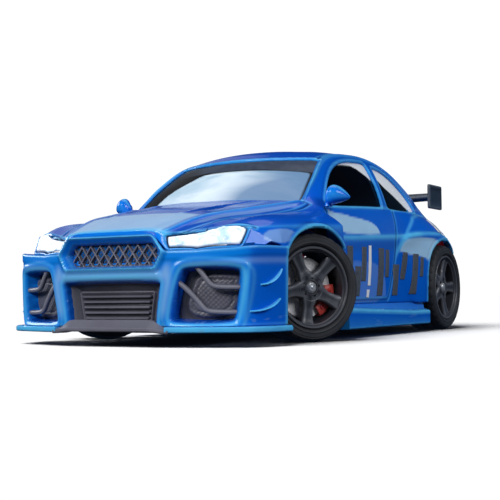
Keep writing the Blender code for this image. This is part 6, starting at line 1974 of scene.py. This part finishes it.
LEAN = 0.24                              # mm towards the tail per mm of height
BARS = [  # slanted bars: foot y, foot z, top z, width
    (-16.0, 7.2, 15.9, 2.3), (-12.5, 7.2, 12.4, 2.3), (-9.3, 9.8, 15.9, 1.9),
    (-2.7, 7.2, 15.9, 2.4), (1.3, 10.6, 15.7, 1.6), (4.4, 7.2, 13.0, 2.4),
    (8.4, 10.2, 15.4, 1.8), (12.1, 7.4, 15.2, 2.4), (16.4, 10.8, 14.6, 1.4)]
SLASH = ((-6.6, 9.0), (-5.5, 9.0), (-3.8, 16.2), (-4.9, 16.2))
SLASH_FOOT = ((-7.3, 6.9), (-6.2, 6.9), (-5.85, 8.3), (-6.95, 8.3))
LIVERY = [  # pale strip over the rear quarter
    ((29.5, 20.1), (31.6, 19.9), (28.8, 22.5), (27.5, 22.6)),
    ((33.0, 19.6), (36.0, 19.3), (33.4, 21.8), (30.6, 22.1)),
    ((38.4, 18.9), (40.2, 18.0), (38.9, 19.9), (36.8, 20.5))]


def build_stickers(skin):
    for side, word in SIDES:
        for i, (y, low, high, wide) in enumerate(BARS):
            lean = LEAN * (high - low)
            corners = ((y, low), (y + wide, low), (y + wide + lean, high), (y + lean, high))
            sticker(f"side_bar_{i}_{word}", corners, INK, side, skin)
        sticker(f"side_slash_{word}", SLASH, WHITE, side, skin)
        sticker(f"side_slash_foot_{word}", SLASH_FOOT, WHITE, side, skin)
    for side, word in SIDES:
        for i, corners in enumerate(LIVERY):
            sticker(f"livery_{i}_{word}", corners, SILVER, side, skin)


# ------------------------------------------------------------------ inner walls
INNER_WALLS = (  # name, y range, foot z up to each y
    ("inner_wall_front", (-43.5, -14.0), ((-29.6, 10.4), (-24.4, 12.4), (99, 10.4))),
    ("inner_wall_rear", (17.6, 42.6), ((29.6, 14.9), (99, 10.4))),
)


def build_inner_walls():
    """Ribbed black walls on the centre line, which close the view through the arches and stand in
    for the shade inside the body.
    """
    roof = surf(np.linspace(0, LAST_ROW, 600), np.full(600, float(CENTRE)))
    for name, y_range, feet in INNER_WALLS:
        rings = []
        for i, y in enumerate(np.linspace(*y_range, 75)):
            low = next(z for limit, z in feet if y < limit)
            top = float(np.interp(y, roof[:, 1], roof[:, 2])) - 1.7
            half = 0.34 + (0.22 if i % 6 in (2, 3) else 0.0)
            section = [(-half, low), (half, low), (half, low + 0.5), (half * 0.8, top - 0.5),
                       (half, top), (-half, top), (-half * 0.8, top - 0.5), (-half, low + 0.5)]
            rings.append([(x, y, z) for x, z in section])
        loft(name, rings, BLACK, [0.4, 0.4, 0.1, 0.1, 0.4, 0.4, 0.1, 0.1], smooth=35)


# ------------------------------------------------------------------ pieces kept from the CAD
CAD_FINISHES = (PAINT, GREY, BLACK, TYRE, RIM, STEEL, BRASS, DISC, RED, GLASS, LENS, LAMP, TAIL,
                BOARD, CELL, NYLON)
BEVELLED = ("chassis_tub", "steering_servo", "battery_cell", "axle_cap_left", "axle_cap_right",
            "motor_can", "charge_port", "power_switch", "upper_arm_plate", "servo_horn",
            "tie_rod", "knuckle_left", "knuckle_right")


def dress_cad_pieces():
    for name, piece in frame["nodes"].items():
        if piece.hide_render:
            continue
        materials = piece.data.materials
        old = materials[0].name if materials else ""
        finish = next((f for f in CAD_FINISHES if old.startswith(f.slot)), BLACK)
        materials.clear()
        materials.append(finish.material)
        if name in BEVELLED:
            edges = piece.modifiers.new("edges", "BEVEL")
            edges.width, edges.segments = 0.12 * MM, 2
            edges.limit_method, edges.angle_limit = "ANGLE", math.radians(40)
            edges.harden_normals = False


# ------------------------------------------------------------------ floor, world, lights, camera
def build_floor():
    bpy.ops.mesh.primitive_plane_add(size=6)
    floor = bpy.context.object
    floor.name = "studio_floor"
    floor.data.materials.append(floor_material())
    # the floor lights nothing, so the car stays dark against it
    floor.visible_glossy = floor.visible_diffuse = False
    return floor


SKY_STOPS = [  # colours that reflections see, from below (0) to overhead (1)
    (0.0, (0.0, 0.015, 0.05)), (0.08, (0.02, 0.06, 0.14)), (0.19, (0.10, 0.22, 0.38)),
    (0.27, (0.05, 0.13, 0.26)), (0.36, (0.004, 0.015, 0.05)), (1.0, (0.002, 0.008, 0.03))]


def build_world():
    """A sky for reflections, a faint white fill, and white behind the car for the camera."""
    world = bpy.data.worlds.new("studio")
    scene.world = world
    world.use_nodes = True
    tree = world.node_tree
    tree.nodes.clear()
    link = tree.links.new
    output = add_node(tree, "ShaderNodeOutputWorld")
    path = add_node(tree, "ShaderNodeLightPath")
    coords = add_node(tree, "ShaderNodeTexCoord")
    separate = add_node(tree, "ShaderNodeSeparateXYZ")
    link(coords.outputs["Generated"], separate.inputs[0])
    ramp = add_node(tree, "ShaderNodeValToRGB")
    link(separate.outputs[2], ramp.inputs[0])
    elements = ramp.color_ramp.elements
    while len(elements) < len(SKY_STOPS):
        elements.new(0.5)
    for element, (position, colour) in zip(elements, SKY_STOPS):
        element.position, element.color = position, (*colour, 1)
    mirrored, fill, backdrop = (add_node(tree, "ShaderNodeBackground") for _ in range(3))
    link(ramp.outputs[0], mirrored.inputs[0])
    mirrored.inputs[1].default_value = 1.0
    for background, strength in ((fill, 0.07), (backdrop, 1.05)):
        background.inputs[0].default_value = (1, 1, 1, 1)
        background.inputs[1].default_value = strength
    by_glossy, by_camera = (add_node(tree, "ShaderNodeMixShader") for _ in range(2))
    link(path.outputs["Is Glossy Ray"], by_glossy.inputs[0])
    link(fill.outputs[0], by_glossy.inputs[1])
    link(mirrored.outputs[0], by_glossy.inputs[2])
    link(path.outputs["Is Camera Ray"], by_camera.inputs[0])
    link(by_glossy.outputs[0], by_camera.inputs[1])
    link(backdrop.outputs[0], by_camera.inputs[2])
    link(by_camera.outputs[0], output.inputs[0])


SOFT_BOXES = [  # name, place, target (metres), (width, height), watts, colour
    ("key_front", (-0.10, -0.52, 0.30), (0, -0.03, 0.012), (0.34, 0.16), 2.3, (1.0, 0.995, 0.98)),
    ("side_soft", (0.55, -0.10, 0.34), (0, 0, 0.012), (0.36, 0.22), 2.0, (0.97, 0.985, 1.0)),
    ("top_soft", (-0.05, 0.08, 0.62), (0, 0, 0), (0.5, 0.5), 1.25, (1, 1, 1)),
    ("back_soft", (-0.45, 0.40, 0.30), (0, 0, 0.01), (0.30, 0.30), 0.10, (0.96, 0.98, 1.0)),
    ("rear_soft", (0.05, 0.62, 0.16), (0, 0.04, 0.015), (0.30, 0.14), 1.25, (0.98, 0.99, 1.0)),
    ("far_side_soft", (-0.60, 0.02, 0.22), (0, 0, 0.015), (0.34, 0.18), 1.3, (0.97, 0.985, 1.0)),
]


def aim(thing, direction):
    thing.rotation_euler = Vector(direction).to_track_quat("-Z", "Y").to_euler()


def build_lights(floor):
    """The soft boxes light the car and not the floor; the wash lights only the floor."""
    only_car = bpy.data.collections.new("car_only")
    for thing in scene.objects:
        if thing.type == "MESH" and thing != floor:
            only_car.objects.link(thing)
    sun = bpy.data.lights.new("floor_wash", "SUN")
    sun.energy, sun.angle = 5.0, math.radians(44)
    wash = bpy.data.objects.new("floor_wash", sun)
    scene.collection.objects.link(wash)
    aim(wash, (0.22, 0.62, -1))
    only_floor = bpy.data.collections.new("floor_only")
    only_floor.objects.link(floor)
    wash.light_linking.receiver_collection = only_floor
    for name, place, target, (width, height), watts, colour in SOFT_BOXES:
        light = bpy.data.lights.new(name, "AREA")
        light.shape, light.size, light.size_y = "RECTANGLE", width, height
        light.energy, light.color = watts, colour
        box = bpy.data.objects.new(name, light)
        scene.collection.objects.link(box)
        box.location = Vector(place)
        aim(box, Vector(target) - Vector(place))
        box.light_linking.receiver_collection = only_car
        if name == "rear_soft":
            # its reflection would whiten the flanks at a flat angle
            box.visible_glossy = False


CAMERA_PLACE = (0.10134, -0.18344, 0.00786)      # metres
CAMERA_YAW, CAMERA_PITCH, CAMERA_ROLL = map(math.radians, (30.222, -2.298, -0.6646))


def build_camera():
    yaw, pitch, roll = CAMERA_YAW, CAMERA_PITCH, CAMERA_ROLL
    ahead = Vector((-math.sin(yaw) * math.cos(pitch), math.cos(yaw) * math.cos(pitch),
                    -math.sin(pitch)))
    level_right = Vector((math.cos(yaw), math.sin(yaw), 0))
    level_up = level_right.cross(ahead)
    right = math.cos(roll) * level_right + math.sin(roll) * level_up
    above = -math.sin(roll) * level_right + math.cos(roll) * level_up
    lens = bpy.data.cameras.new("photo_view")
    lens.lens, lens.sensor_width, lens.clip_start = 78.08, 36, 0.001
    camera = bpy.data.objects.new("photo_view", lens)
    scene.collection.objects.link(camera)
    pose = Matrix((right, above, -ahead)).transposed().to_4x4()
    pose.translation = Vector(CAMERA_PLACE)
    camera.matrix_world = pose
    scene.camera = camera
    scene.view_settings.view_transform = "Standard"
    scene.view_settings.look = "None"


# ------------------------------------------------------------------ the car, then its studio
shell = build_shell()
# for finding the skin under a sticker or a strut
skin_tree = BVHTree.FromPolygons([v.co for v in shell.data.vertices],
                                 [tuple(p.vertices) for p in shell.data.polygons])
build_windows()
build_lamps()
build_front_bumper()
build_inserts()
build_intake_fins()
build_lower_lip()
build_seam_liner()
build_splitters()
build_canards()
build_rear_bumper()
build_reflectors()
build_diffuser()
build_exhausts()
build_skirts()
build_mirrors()
build_wing(skin_tree)
build_wheels()
build_stickers(skin_tree)
build_inner_walls()
dress_cad_pieces()
studio_floor = build_floor()
build_world()
build_lights(studio_floor)
build_camera()

bpy.context.view_layer.update()
